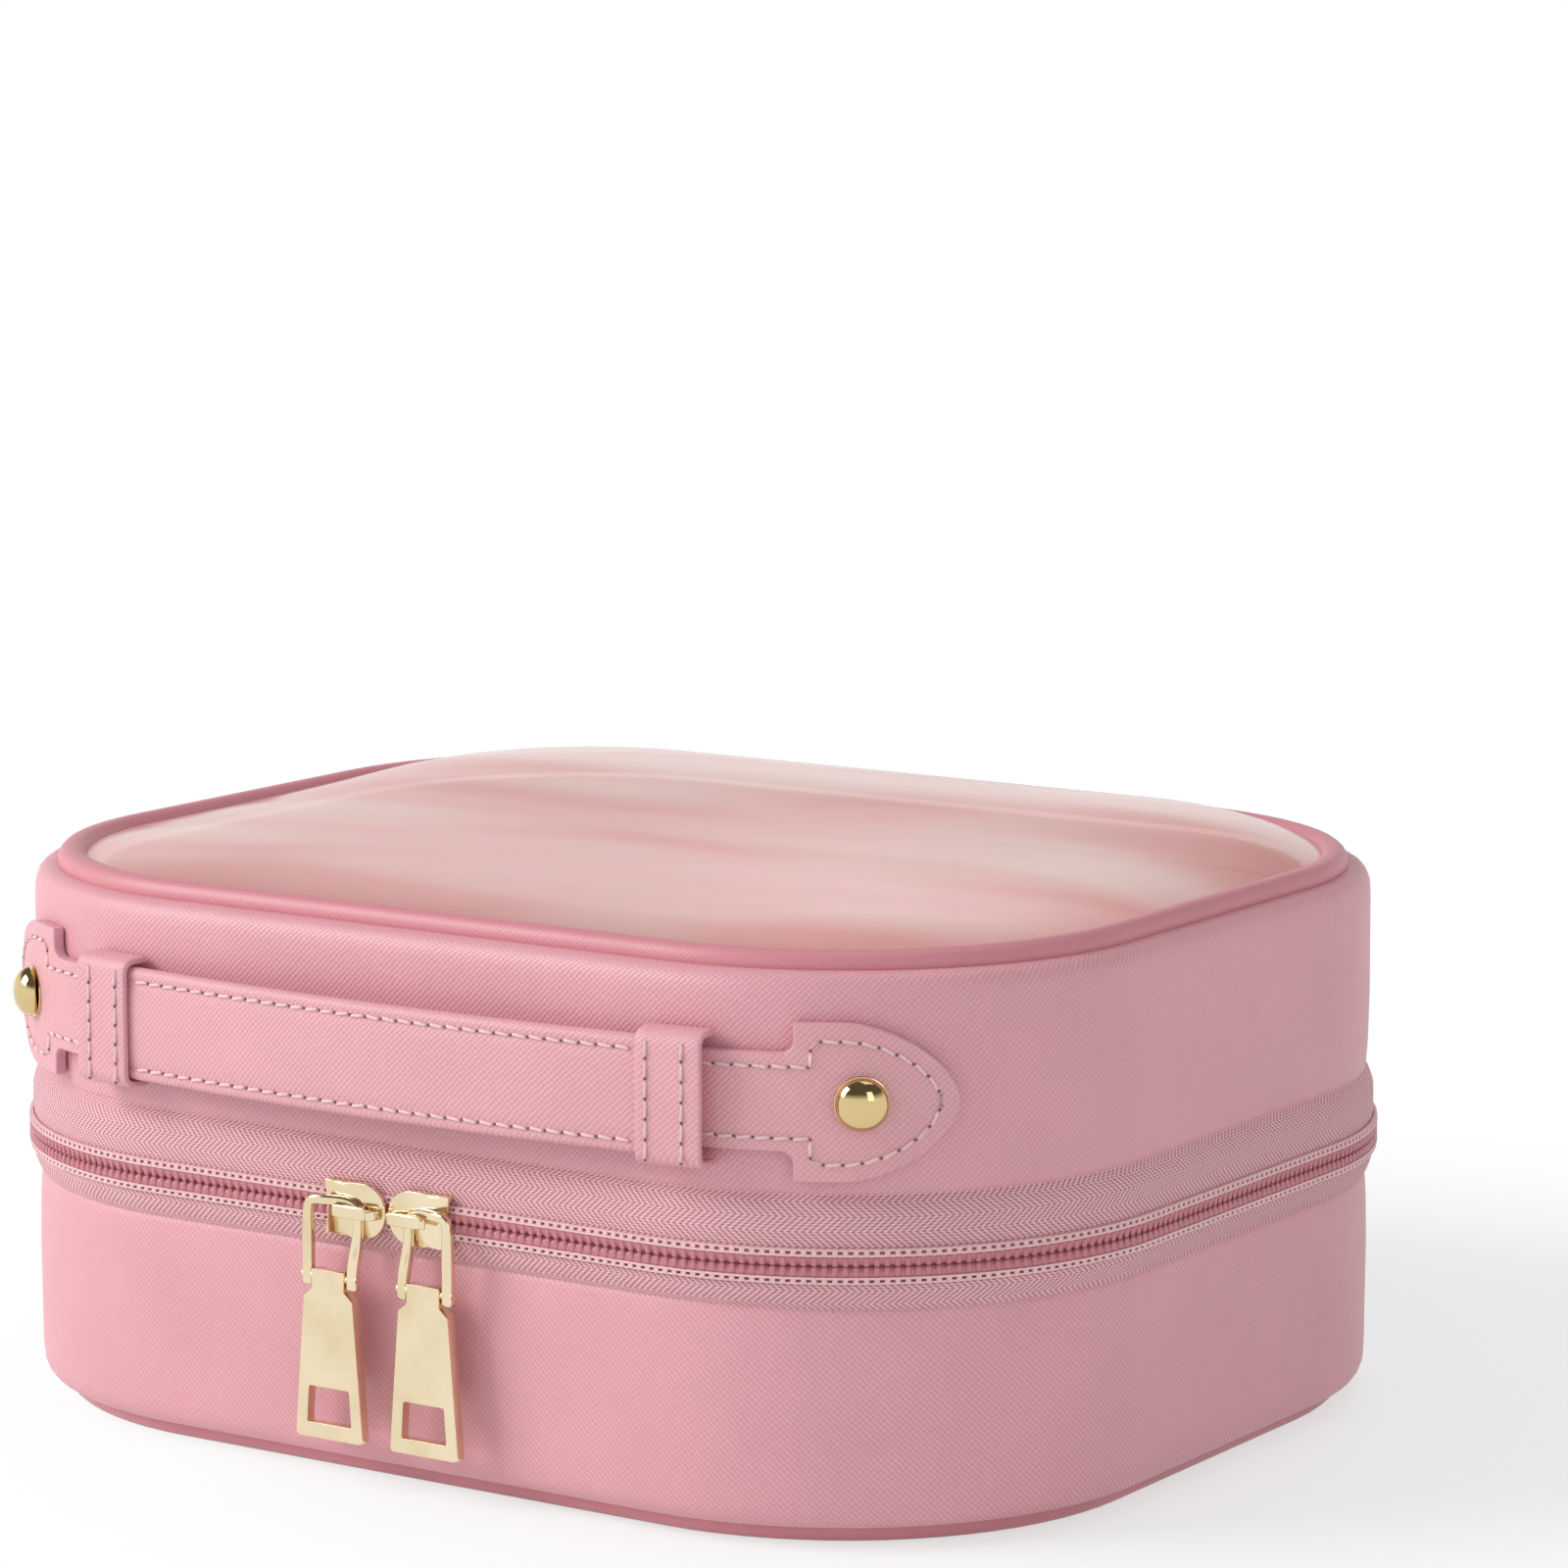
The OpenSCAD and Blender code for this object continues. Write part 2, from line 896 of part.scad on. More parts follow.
module page_upper_tape() {
  color("#e39fa9") as_upper() page_tape(page_zip_in + page_zip_step);
}

module page_upper_coil() {
  color("#e9aab2") as_upper() page_coil(page_zip_in + page_zip_step);
}

module page_upper_strip() {
  color("#f4d3d3") as_upper() page_strip();
}

module page_upper_slider() {
  color("#cfa669") as_upper() page_slider(page_zip_in + page_zip_step);
}

module page_upper_pull() {
  color("#cfa669") as_upper() page_pull(page_zip_in + page_zip_step);
}

base_wall();
base_core();
base_lining();
base_piping();
base_window();
base_seam_binding();
base_rim_binding();
base_zip_tape();
base_zip_coil();
lid_wall();
lid_core();
lid_lining();
lid_piping();
lid_window();
lid_seam_binding();
lid_rim_binding();
lid_zip_tape();
lid_zip_coil();
handle_tab_left();
handle_tab_right();
handle_rivets();
rivet_washers();
handle_strap();
keeper_left();
keeper_right();
spine_cover();
spine_board();
spine_lining();
slider_left();
bail_left();
bail_pin_left();
pull_left();
slider_right();
bail_right();
bail_pin_right();
pull_right();
page_lower_binding();
page_lower_back();
page_lower_front();
page_lower_tape();
page_lower_coil();
page_lower_strip();
page_lower_slider();
page_lower_pull();
page_upper_binding();
page_upper_back();
page_upper_front();
page_upper_tape();
page_upper_coil();
page_upper_strip();
page_upper_slider();
page_upper_pull();
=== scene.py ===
import math

import bpy
from mathutils import Matrix, Vector, noise


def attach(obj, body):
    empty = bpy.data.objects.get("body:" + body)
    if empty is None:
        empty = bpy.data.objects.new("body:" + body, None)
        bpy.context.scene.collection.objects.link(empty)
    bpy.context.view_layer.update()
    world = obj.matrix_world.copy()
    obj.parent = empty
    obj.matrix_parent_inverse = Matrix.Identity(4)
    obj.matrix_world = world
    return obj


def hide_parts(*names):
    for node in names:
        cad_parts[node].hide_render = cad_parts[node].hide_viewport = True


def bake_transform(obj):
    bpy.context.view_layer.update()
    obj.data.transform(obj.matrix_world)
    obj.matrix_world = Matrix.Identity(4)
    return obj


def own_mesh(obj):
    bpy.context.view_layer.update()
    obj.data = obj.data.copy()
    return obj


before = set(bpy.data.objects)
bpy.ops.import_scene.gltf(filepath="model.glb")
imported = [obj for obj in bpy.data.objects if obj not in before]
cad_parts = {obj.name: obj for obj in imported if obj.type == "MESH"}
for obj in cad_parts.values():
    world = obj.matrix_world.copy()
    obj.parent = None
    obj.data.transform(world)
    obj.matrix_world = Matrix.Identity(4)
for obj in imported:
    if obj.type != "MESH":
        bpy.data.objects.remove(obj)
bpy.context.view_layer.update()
mm = 0.001

# The studio: a long lens a good metre off, a little above the lid and to the right of
# the handle, over a white table. A soft light stands to the left, and the room is white.
bpy.ops.object.select_all(action="DESELECT")
bpy.ops.object.camera_add(location=(601.0 * mm, -876.5 * mm, 275.4 * mm))
camera = bpy.context.object
camera.rotation_euler = Vector((-0.5473, 0.8227, -0.1534)).to_track_quat("-Z", "Y").to_euler()
camera.data.lens = 135.8
camera.data.clip_start = 0.05
camera.data.clip_end = 50
bpy.context.scene.camera = camera
bpy.context.scene.view_settings.view_transform = "Standard"


def soft_light(name, place, aim, size, watts, colour):
    bpy.ops.object.light_add(type="AREA", location=place)
    lamp = bpy.context.object
    lamp.name = name
    lamp.rotation_euler = (Vector(aim) - Vector(place)).to_track_quat("-Z", "Y").to_euler()
    lamp.data.shape = "RECTANGLE"
    lamp.data.size, lamp.data.size_y = size
    lamp.data.energy = watts
    lamp.data.color = colour


soft_light("left_softbox", (-1.05, -0.95, 1.0), (0, 0, 0.05), (0.9, 0.9), 19.5, (1, 0.985, 0.98))
soft_light("right_softbox", (1.5, -0.75, 0.8), (0, 0, 0.05), (0.6, 0.9), 2.6, (0.97, 0.99, 1))
soft_light("top_softbox", (0.1, 0.35, 1.5), (0, 0, 0.1), (1.0, 0.8), 2.5, (1, 1, 1))


def feed(tree, target, inputs):
    """Gives each input of a node a plain value, or the output that drives it."""
    for key, value in inputs.items():
        if isinstance(value, bpy.types.NodeSocket):
            tree.links.new(value, target.inputs[key])
        else:
            target.inputs[key].default_value = value


def add_node(tree, kind, inputs, out=0, **settings):
    """A new shader node, set and fed; returns the output that the next node takes."""
    made = tree.nodes.new("ShaderNode" + kind)
    for key, value in settings.items():
        setattr(made, key, value)
    feed(tree, made, inputs)
    return made.outputs[out]


def maths(tree, operation, *inputs):
    return add_node(tree, "Math", dict(enumerate(inputs)), operation=operation)


def ramp(tree, value, low, high, start=0.0, end=1.0):
    """A colour that goes from low to high while the value goes from start to end."""
    shade = add_node(tree, "ValToRGB", {0: value})
    for stop, place, colour in zip(shade.node.color_ramp.elements, (start, end), (low, high)):
        stop.position = place
        stop.color = (*colour, 1)
    return shade


def finish(name):
    """A fresh material, with its node tree and its shader."""
    material = bpy.data.materials.new(name)
    material.use_nodes = True
    return material, material.node_tree, material.node_tree.nodes["Principled BSDF"]


white = (1, 1, 1)
world = bpy.data.worlds.new("studio_room")
bpy.context.scene.world = world
world.use_nodes = True
tree = world.node_tree
tree.nodes.clear()
ray = tree.nodes.new("ShaderNodeLightPath").outputs
seen = maths(tree, "ADD", ray["Is Camera Ray"], ray["Is Transmission Ray"])
height = add_node(tree, "SeparateXYZ", {0: add_node(tree, "TexCoord", {}, "Generated")}, "Z")
ceiling = ramp(tree, height, white, (0.5, 0.5, 0.5), 0.3, 0.95)
dark_top = ramp(tree, height, white, (0.12, 0.11, 0.10), 0.22, 0.5)
plain = add_node(tree, "Background", {"Color": ceiling, "Strength": 0.68})
mirrored = add_node(tree, "Background", {"Color": dark_top})
backdrop = add_node(tree, "Background", {"Color": (*white, 1)})
by_gloss = add_node(tree, "MixShader", {0: ray["Is Glossy Ray"], 1: plain, 2: mirrored})
by_view = add_node(tree, "MixShader", {0: seen, 1: by_gloss, 2: backdrop})
feed(tree, tree.nodes.new("ShaderNodeOutputWorld"), {"Surface": by_view})

bpy.ops.mesh.primitive_plane_add(size=8, location=(0, 0, -0.0002))
table = bpy.context.object
table.name = "white_table"
table_finish, tree, shader = finish("white_table")
feed(tree, shader, {
    "Base Color": (0.92, 0.97, 0.96, 1), "Roughness": 0.55, "Specular IOR Level": 0.25,
})
here = add_node(tree, "TexCoord", {}, "Object")
away = add_node(tree, "VectorMath", {0: here, 1: (0.06, 0.05, 0)}, "Value", operation="DISTANCE")
fade = add_node(
    tree, "MapRange", {"Value": away, "From Min": 0.1, "From Max": 0.24, "To Min": 0.6},
    interpolation_type="SMOOTHSTEP",
)
ray = tree.nodes.new("ShaderNodeLightPath").outputs
direct = maths(tree, "MAXIMUM", ray["Is Camera Ray"], ray["Is Glossy Ray"])
through = maths(tree, "MAXIMUM", direct, ray["Is Transmission Ray"])
glow = add_node(tree, "Emission", {"Color": (*white, 1)})
blank = add_node(
    tree, "MixShader", {0: maths(tree, "MULTIPLY", fade, through), 1: shader.outputs[0], 2: glow}
)
feed(tree, tree.nodes["Material Output"], {"Surface": blank})
table.data.materials.append(table_finish)

# The two walls of cover: cross-grained faux leather over board, cut in one strip, its
# shoulder turned in to the window's seam and its other edge folded under at the zip.
run_x, run_y, corner_r = 52 * mm, 32 * mm, 60 * mm
half_w, half_d = 112 * mm, 92 * mm
closed_h = 100
halves = (("base", 41), ("lid", 40))
wave_band = 0.31416  # what a wave texture's scale times its pitch comes to


def name_piece(piece, name):
    piece.name = name
    piece.data.name = name


def pick(piece):
    """Selects one piece alone and makes it active."""
    bpy.ops.object.select_all(action="DESELECT")
    bpy.context.view_layer.objects.active = piece
    piece.select_set(True)


def draw_section(name, section):
    """A closed wire section at the middle of the front; each point is (out, up) in mm."""
    bpy.ops.object.select_all(action="DESELECT")
    bpy.ops.mesh.primitive_plane_add(size=mm, location=(0, 0, 0))
    piece = bpy.context.object
    name_piece(piece, name)
    bpy.ops.object.mode_set(mode="EDIT")
    bpy.ops.mesh.select_all(action="SELECT")
    bpy.ops.mesh.merge(type="CENTER")
    out, up = section[0]
    bpy.ops.transform.translate(value=(0, -half_d - out * mm, up * mm))
    for (a, b), (c, d) in zip(section, section[1:] + section[:1]):
        bpy.ops.mesh.extrude_vertices_move(
            TRANSFORM_OT_translate={"value": (0, (a - c) * mm, (d - b) * mm)}
        )
    bpy.ops.mesh.select_all(action="SELECT")
    bpy.ops.mesh.remove_doubles(threshold=1e-6)
    return piece


def lead_round(piece, turn=90, cuts=1, corner_steps=18):
    """Leads the section along the front, the corner, the side and the back corner, mirrors it."""

    def run(x, y):
        for _ in range(cuts):
            bpy.ops.mesh.extrude_region_move(
                TRANSFORM_OT_translate={"value": (x / cuts, y / cuts, 0)}
            )

    def corner(y, angle):
        bpy.ops.mesh.spin(
            steps=corner_steps, angle=-math.radians(angle), center=(run_x, y, 0), axis=(0, 0, 1)
        )

    bpy.ops.mesh.select_all(action="SELECT")
    run(run_x, 0)
    corner(-run_y, 90)
    run(0, 2 * run_y)
    corner(run_y, turn)
    if turn == 90:
        run(-run_x, 0)
    else:
        bpy.ops.mesh.edge_face_add()
    bpy.ops.object.mode_set(mode="OBJECT")
    mirror = piece.modifiers.new("other_side", "MIRROR")
    mirror.merge_threshold = 1e-6
    bpy.ops.object.modifier_apply(modifier=mirror.name)
    close_up(piece)
    return piece


def close_up(piece):
    """Merges doubles and turns all faces outwards."""
    pick(piece)
    bpy.ops.object.mode_set(mode="EDIT")
    bpy.ops.mesh.select_all(action="SELECT")
    bpy.ops.mesh.remove_doubles(threshold=2e-6)
    bpy.ops.mesh.normals_make_consistent(inside=False)
    bpy.ops.object.mode_set(mode="OBJECT")


def way_round(x, y):
    """How far along the wall a point lies, from the middle of the front, and how far out."""
    side = 1 if x >= 0 else -1
    x = abs(x)
    quarter = corner_r * math.pi / 2
    if y <= -run_y and x <= run_x:
        return side * x, -y - half_d
    if y <= -run_y:
        turn = math.atan2(x - run_x, -y - run_y)
        return side * (run_x + corner_r * turn), math.hypot(x - run_x, y + run_y) - corner_r
    if y <= run_y:
        return side * (run_x + quarter + y + run_y), x - half_w
    if x > run_x:
        turn = math.atan2(y - run_y, x - run_x)
        far = run_x + quarter + 2 * run_y + corner_r * turn
        return side * far, math.hypot(x - run_x, y - run_y) - corner_r
    return side * (run_x + 2 * quarter + 2 * run_y + run_x - x), y - half_d


def lay_grain(piece, section):
    """Unwraps a led-round piece: along the wall, and along its section, in metres."""
    girth = [0.0]
    for (a, b), (c, d) in zip(section, section[1:]):
        girth.append(girth[-1] + math.hypot(c - a, d - b) * mm)
    grain = piece.data.uv_layers.new(name="grain")
    for face in piece.data.polygons:
        for loop in face.loop_indices:
            x, y, z = piece.data.vertices[piece.data.loops[loop].vertex_index].co
            if abs(x) < 1e-6:
                x = math.copysign(1e-9, face.center.x)
            along, out = way_round(x, y)
            near = min(
                range(len(section)),
                key=lambda i: (section[i][0] * mm - out) ** 2 + (section[i][1] * mm - z) ** 2,
            )
            grain.data[loop].uv = (along, girth[near])


def smooth(piece, angle=35):
    pick(piece)
    bpy.ops.object.shade_smooth_by_angle(angle=math.radians(angle))


def led_piece(name, section, material, angle=50, **way):
    """A strip with its section led round the case, grained, smoothed and covered."""
    piece = lead_round(draw_section(name, section), **way)
    lay_grain(piece, section)
    smooth(piece, angle)
    piece.data.materials.append(material)
    return piece


def for_half(half, section):
    """A section drawn for the base, turned over for the lid."""
    return [(out, closed_h - up) for out, up in section] if half == "lid" else section


def arc(x, y, r, start, end, n):
    """Points on an arc, in mm and degrees."""
    steps = [math.radians(start + (end - start) * i / n) for i in range(n + 1)]
    return [(x + r * math.cos(a), y + r * math.sin(a)) for a in steps]


def tint(colour, factor):
    return [min(1, c * factor) for c in colour]


def ribs(tree, where, tilt, pitch, wobble, detail):
    """Parallel ridges at a tilt in degrees, a little wavy."""
    turned = add_node(
        tree, "Mapping", {"Vector": where, "Rotation": (0, 0, math.radians(tilt))}
    )
    return add_node(tree, "TexWave", {
        "Vector": turned, "Scale": wave_band / pitch, "Distortion": wobble, "Detail": 2,
        "Detail Scale": detail,
    }, "Fac")


def pressed(tree, height, strength, distance):
    return add_node(
        tree, "Bump", {"Height": height, "Strength": strength, "Distance": distance}
    )


def pink_leather(name, colour, relief=1.0):
    """Faux leather pressed with fine crossing diagonal lines, a little mottled, its ridges painted
    lighter as a glint.
    """
    material, tree, shader = finish(name)
    where = add_node(tree, "UVMap", {}, uv_map="grain")
    down, across = [
        ribs(tree, where, tilt, pitch * mm, 2.0, 1.6) for tilt, pitch in ((45, 0.78), (-49, 0.84))
    ]
    cross = maths(tree, "MULTIPLY_ADD", across, 0.42, down)
    mottle = add_node(tree, "TexNoise", {"Vector": where, "Scale": 55, "Detail": 3}, "Fac")
    # Painted highlight: the colour is lighter along the pressed ridges, standing in for their glint,
    # and mottled at random.
    mottle_and_ridge_glint = maths(tree, "MULTIPLY", maths(tree, "MULTIPLY_ADD", mottle, 0.9, cross), 0.5)
    feed(tree, shader, {
        "Base Color": ramp(
            tree, mottle_and_ridge_glint, tint(colour, 1 - 0.1 * relief), tint(colour, 1 + 0.14 * relief), 0.3
        ),
        "Roughness": add_node(tree, "MapRange", {"Value": cross, "To Min": 0.56, "To Max": 0.4}),
        "Specular IOR Level": 0.58,
        "Normal": pressed(tree, cross, 0.5 * relief, 0.1 * mm),
    })
    return material


cover_leather = pink_leather("cover_leather", (0.72, 0.345, 0.39))


def wall_section(h):
    """Outer cover of one half: padded wall, edge turned in under the piping, folded zip edge."""
    outer = [
        (-0.55, h + 0.15), (-0.15, h - 0.25), (0.05, h - 1.2), (0.3, h - 5), (0.5, h - 14), (0.4, 14),
    ]
    shoulder = [
        (0.38, 9), (0.3, 7.2), (0.14, 5.8), (-0.25, 4.7), (-0.85, 3.9), (-1.7, 3.35),
        (-2.8, 3.1), (-4.0, 3.1), (-5.3, 3.3),
    ]
    inner = [(-5.3, 4.4), (-3.6, 4.4), (-2.4, 4.8), (-1.6, 5.6), (-1.1, 7.0), (-0.95, 9)]
    back = [(-0.95, 14), (-1.0, h - 4), (-1.15, h - 0.6)]
    return outer + shoulder + inner + back


for half, h in halves:
    section = for_half(half, wall_section(h))
    wall = led_piece(half + "_cover", section, cover_leather, cuts=6)
    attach(wall, half)
    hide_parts(half + "_wall")

# Piping round the window seams: a cord wrapped in the same leather and sewn into the
# seam between the shoulder and the clear sheet, a little flattened underneath.
piping_leather = pink_leather("piping_leather", (0.64, 0.245, 0.285), relief=0.35)
cord_out, cord_z, cord_r, flat_z = -6.4, 2.55, 2.65, 0.05
for half, h in halves:
    cord = arc(cord_out, cord_z, cord_r, 180, -180, 18)[:-1]
    section = for_half(half, [(out, max(up, flat_z)) for out, up in cord])
    piping = led_piece(half + "_edge_piping", section, piping_leather, 60, cuts=2)
    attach(piping, half)
    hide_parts(half + "_piping")

# Clear windows: soft film sewn in under the piping, a little puffed and rippled, and
# milky where it is looked along.
film_edge, lid_film_z, base_film_z = 7.6 * mm, 98.0 * mm, 1.75 * mm
puff, ripple_h = 3.2 * mm, 0.4 * mm


def clear_film(name, milky, rosy, straight, grazing):
    """Clear film: see-through from the front, milky and glossy at a low angle, in streaks, and
    painted paler towards the back as a reflection.
    """
    material, tree, shader = finish(name)
    facing_away = add_node(tree, "LayerWeight", {"Blend": 0.5}, "Facing")
    veil = add_node(
        tree, "MapRange", {"Value": facing_away, "To Min": straight, "To Max": grazing},
        interpolation_type="SMOOTHSTEP",
    )
    where = add_node(tree, "TexCoord", {}, "Object")
    stretched = add_node(tree, "Mapping", {"Vector": where, "Scale": (0.55, 1.5, 1)})
    ripple = add_node(tree, "TexNoise", {"Vector": stretched, "Scale": 26, "Detail": 0.6}, "Fac")
    # Painted reflection: the colour pales towards the back of the film, over streaks of milkiness
    # that follow the ripples.
    depth = add_node(tree, "SeparateXYZ", {0: where}, "Y")
    streaks_and_back_reflection = maths(tree, "MULTIPLY_ADD", depth, 2.1, ripple)
    feed(tree, shader, {
        "IOR": 1.5,
        "Alpha": veil,
        "Base Color": ramp(tree, streaks_and_back_reflection, rosy, milky, 0.40, 0.72),
        "Roughness": add_node(tree, "MapRange", {"Value": ripple, "To Min": 0.05, "To Max": 0.24}),
        "Normal": pressed(tree, ripple, 0.35, 4 * mm),
    })
    return material


def film_sheet(name, half_x, half_y, radius, middle_y, cuts, lift):
    """A gridded sheet with round corners; lift gives a point's height from its edge distance."""
    bpy.ops.object.select_all(action="DESELECT")
    bpy.ops.mesh.primitive_grid_add(x_subdivisions=cuts[0], y_subdivisions=cuts[1], size=2)
    sheet = bpy.context.object
    name_piece(sheet, name)
    for v in sheet.data.vertices:
        x, y = v.co.x * half_x, v.co.y * half_y
        a, b = (abs(x) - half_x + radius) / radius, (abs(y) - half_y + radius) / radius
        reach = max(a, b)
        if a > 0 and b > 0:
            turn = math.pi / 4 * (b / a) if a >= b else math.pi / 2 - math.pi / 4 * (a / b)
            x = math.copysign(half_x - radius + radius * reach * math.cos(turn), x)
            y = math.copysign(half_y - radius + radius * reach * math.sin(turn), y)
            edge = radius * (1 - reach)
        else:
            edge = min(half_x - abs(x), half_y - abs(y))
        v.co = (x, y + middle_y, lift(x, y, edge))
    smooth(sheet, 60)
    return sheet


def puffed(x, y, edge):
    """Height of the film: steep at the seam, fuller towards the back, slightly rippled."""
    rise = 1 - math.exp(-edge / (12 * mm))
    back = min(max((y + 0.03) / 0.105, 0), 1)
    rise *= 1 + 1.5 * back * back * (3 - 2 * back)
    ripple = noise.noise(Vector((x * 14, y * 30, 0.3)))
    return rise * puff + ripple * ripple_h * min(edge / (25 * mm), 1)


window_film = clear_film("window_film", (0.98, 0.75, 0.69), (0.92, 0.46, 0.42), 0.06, 0.8)
for half, h in halves:
    film_z, swell = (lid_film_z, 1) if half == "lid" else (base_film_z, -0.12)
    film = film_sheet(
        half + "_clear_window", half_w - film_edge, half_d - film_edge, corner_r - film_edge, 0,
        (64, 52), lambda x, y, edge: film_z + puffed(x, y, edge) * swell,
    )
    if half == "base":
        film.data.flip_normals()
    film.data.materials.append(window_film)
    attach(film, half)
    if half == "lid":
        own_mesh(film)
    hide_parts(half + "_window")

# Inside: a woven lining glued to the board, a gathered binding over the window's seam,
# and a roll of satin cord along the rim.
def woven(name, colour, thread, gather=0.0, sheen=0.3):
    """Fine plain weave, painted darker in the hollows of its folds and between its threads; gather
    adds soft cross folds along the strip.
    """
    material, tree, shader = finish(name)
    where = add_node(tree, "UVMap", {}, uv_map="grain")
    weave = maths(tree, "MULTIPLY", *[ribs(tree, where, tilt, thread, 0.8, 2) for tilt in (0, 90)])
    stretched = add_node(tree, "Mapping", {"Vector": where, "Scale": (1, 0.12, 1)})
    folds = add_node(tree, "TexNoise", {"Vector": stretched, "Scale": 210}, "Fac")
    # Painted shade: the colour is darker in the hollows of the folds and between the threads, lighter
    # on their crests.
    fold_and_thread_shade = maths(tree, "MULTIPLY_ADD", weave, 0.45, folds)
    raised = maths(tree, "MULTIPLY_ADD", folds, 1 + 8 * gather, weave)
    feed(tree, shader, {
        "Base Color": ramp(tree, fold_and_thread_shade, tint(colour, 0.88), tint(colour, 1.08), 0.2, 0.9),
        "Roughness": 0.62,
        "Sheen Weight": sheen,
        "Sheen Roughness": 0.4,
        "Normal": pressed(tree, raised, 0.5, 0.12 * mm),
    })
    return material


lining_cloth = woven("lining_cloth", (0.78, 0.44, 0.47), 0.5 * mm, gather=-0.08)
seam_cloth = woven("seam_cloth", (0.83, 0.54, 0.55), 0.6 * mm, gather=0.6)
rim_satin = woven("rim_satin", (0.86, 0.6, 0.6), 0.35 * mm, gather=0.25, sheen=0.6)
seam_line = [
    (-3.9, 4.0), (-3.9, 11.2), (-4.6, 11.6), (-5.2, 11.0), (-5.5, 6.6), (-7, 5.2), (-11.6, 4.6),
    (-12.0, 4.1), (-11.4, 3.6),
]
for half, h in halves:
    lining_line = [(-3.45, h - 0.3), (-3.45, 4.3), (-3.95, 4.3), (-3.95, h - 0.3)]
    rim_line = arc(-4.8, h + 2.1, 2.0, 180, -180, 12)[:-1]
    for name, section, cloth, node, slot in (
        ("lining", lining_line, lining_cloth, "lining", "lining"),
        ("seam_tape", seam_line, seam_cloth, "seam_binding", "binding"),
        ("rim_roll", rim_line, rim_satin, "rim_binding", "satin"),
    ):
        piece = led_piece(
            half + "_" + name + "_cloth", for_half(half, section), cloth, cuts=2, corner_steps=14
        )
        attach(piece, half)
        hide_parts(half + "_" + node)

# The stiffening boards between cover and lining: grey pressed board, scored and bent to
# the walls, with a flat strip in the spine. Glued in and hardly seen, they stay as the
# solids built them.
def speckled(name, dark, pale, scale, roughness):
    """A plain stuff, slightly uneven in shade."""
    material, tree, shader = finish(name)
    where = add_node(tree, "TexCoord", {}, "Object")
    speck = add_node(tree, "TexNoise", {"Vector": where, "Scale": scale}, "Fac")
    feed(tree, shader, {"Base Color": ramp(tree, speck, dark, pale), "Roughness": roughness})
    return material


def dress(piece, material):
    piece.data.materials.clear()
    piece.data.materials.append(material)


grey_board = speckled("grey_board", (0.33, 0.3, 0.26), (0.47, 0.43, 0.37), 900, 0.85)
for node in ("base_core", "lid_core", "spine_board"):
    dress(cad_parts[node], grey_board)

# The zip's tapes: herringbone webbing sewn into the folded edges of the cover, standing
# a little proud of the walls and carrying one half of the coil each.
def herringbone(name, dark, pale, row, rib, weft_pitch):
    """Twill that turns back on itself in rows along the tape, its threads painted pale as highlight
    and its gaps painted dark as shade.
    """
    material, tree, shader = finish(name)
    where = add_node(tree, "UVMap", {}, uv_map="grain")
    axes = add_node(tree, "SeparateXYZ", {0: where}).node.outputs
    zigzag = maths(tree, "PINGPONG", axes["Y"], row)
    slope = maths(tree, "MULTIPLY_ADD", zigzag, 1.1, axes["X"])
    twill = maths(tree, "SINE", maths(tree, "MULTIPLY", slope, 2 * math.pi / rib))
    weft = add_node(
        tree, "TexWave", {"Vector": where, "Scale": wave_band / weft_pitch, "Distortion": 0.6},
        "Fac", bands_direction="Y",
    )
    # Painted shade and highlight: the same pattern that raises the twill colours its threads pale and
    # its gaps dark.
    cloth = maths(tree, "MULTIPLY_ADD", weft, 1.2, twill)
    tone = add_node(tree, "MapRange", {"Value": cloth, "From Min": -1, "From Max": 2.2})
    feed(tree, shader, {
        "Base Color": ramp(tree, tone, dark, pale, 0.15, 0.85),
        "Roughness": 0.6,
        "Sheen Weight": 0.06,
        "Sheen Tint": (*pale, 1),
        "Normal": pressed(tree, cloth, 0.6, 0.12 * mm),
    })
    return material


tape_web = herringbone(
    "tape_web", (0.49, 0.185, 0.215), (0.92, 0.57, 0.61), 2.5 * mm, 1.15 * mm, 0.5 * mm
)
part_z, coil_room = 48.5, 2.75
for half, h in halves:
    top = (part_z if half == "base" else closed_h - part_z) - coil_room
    outer = [
        (-0.75, h - 1.2), (-0.1, h + 0.1), (0.65, h + 1.1), (1.15, h + 2.4), (1.4, h + 3.6),
        (1.45, top - 0.8), (1.3, top),
    ]
    inner = [(0.45, top), (0.5, h + 3), (0.2, h + 1.8), (-0.7, h + 0.4), (-0.85, h - 1.2)]
    tape = led_piece(half + "_tape", for_half(half, outer + inner), tape_web, turn=78, cuts=2)
    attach(tape, half)
    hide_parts(half + "_zip_tape")

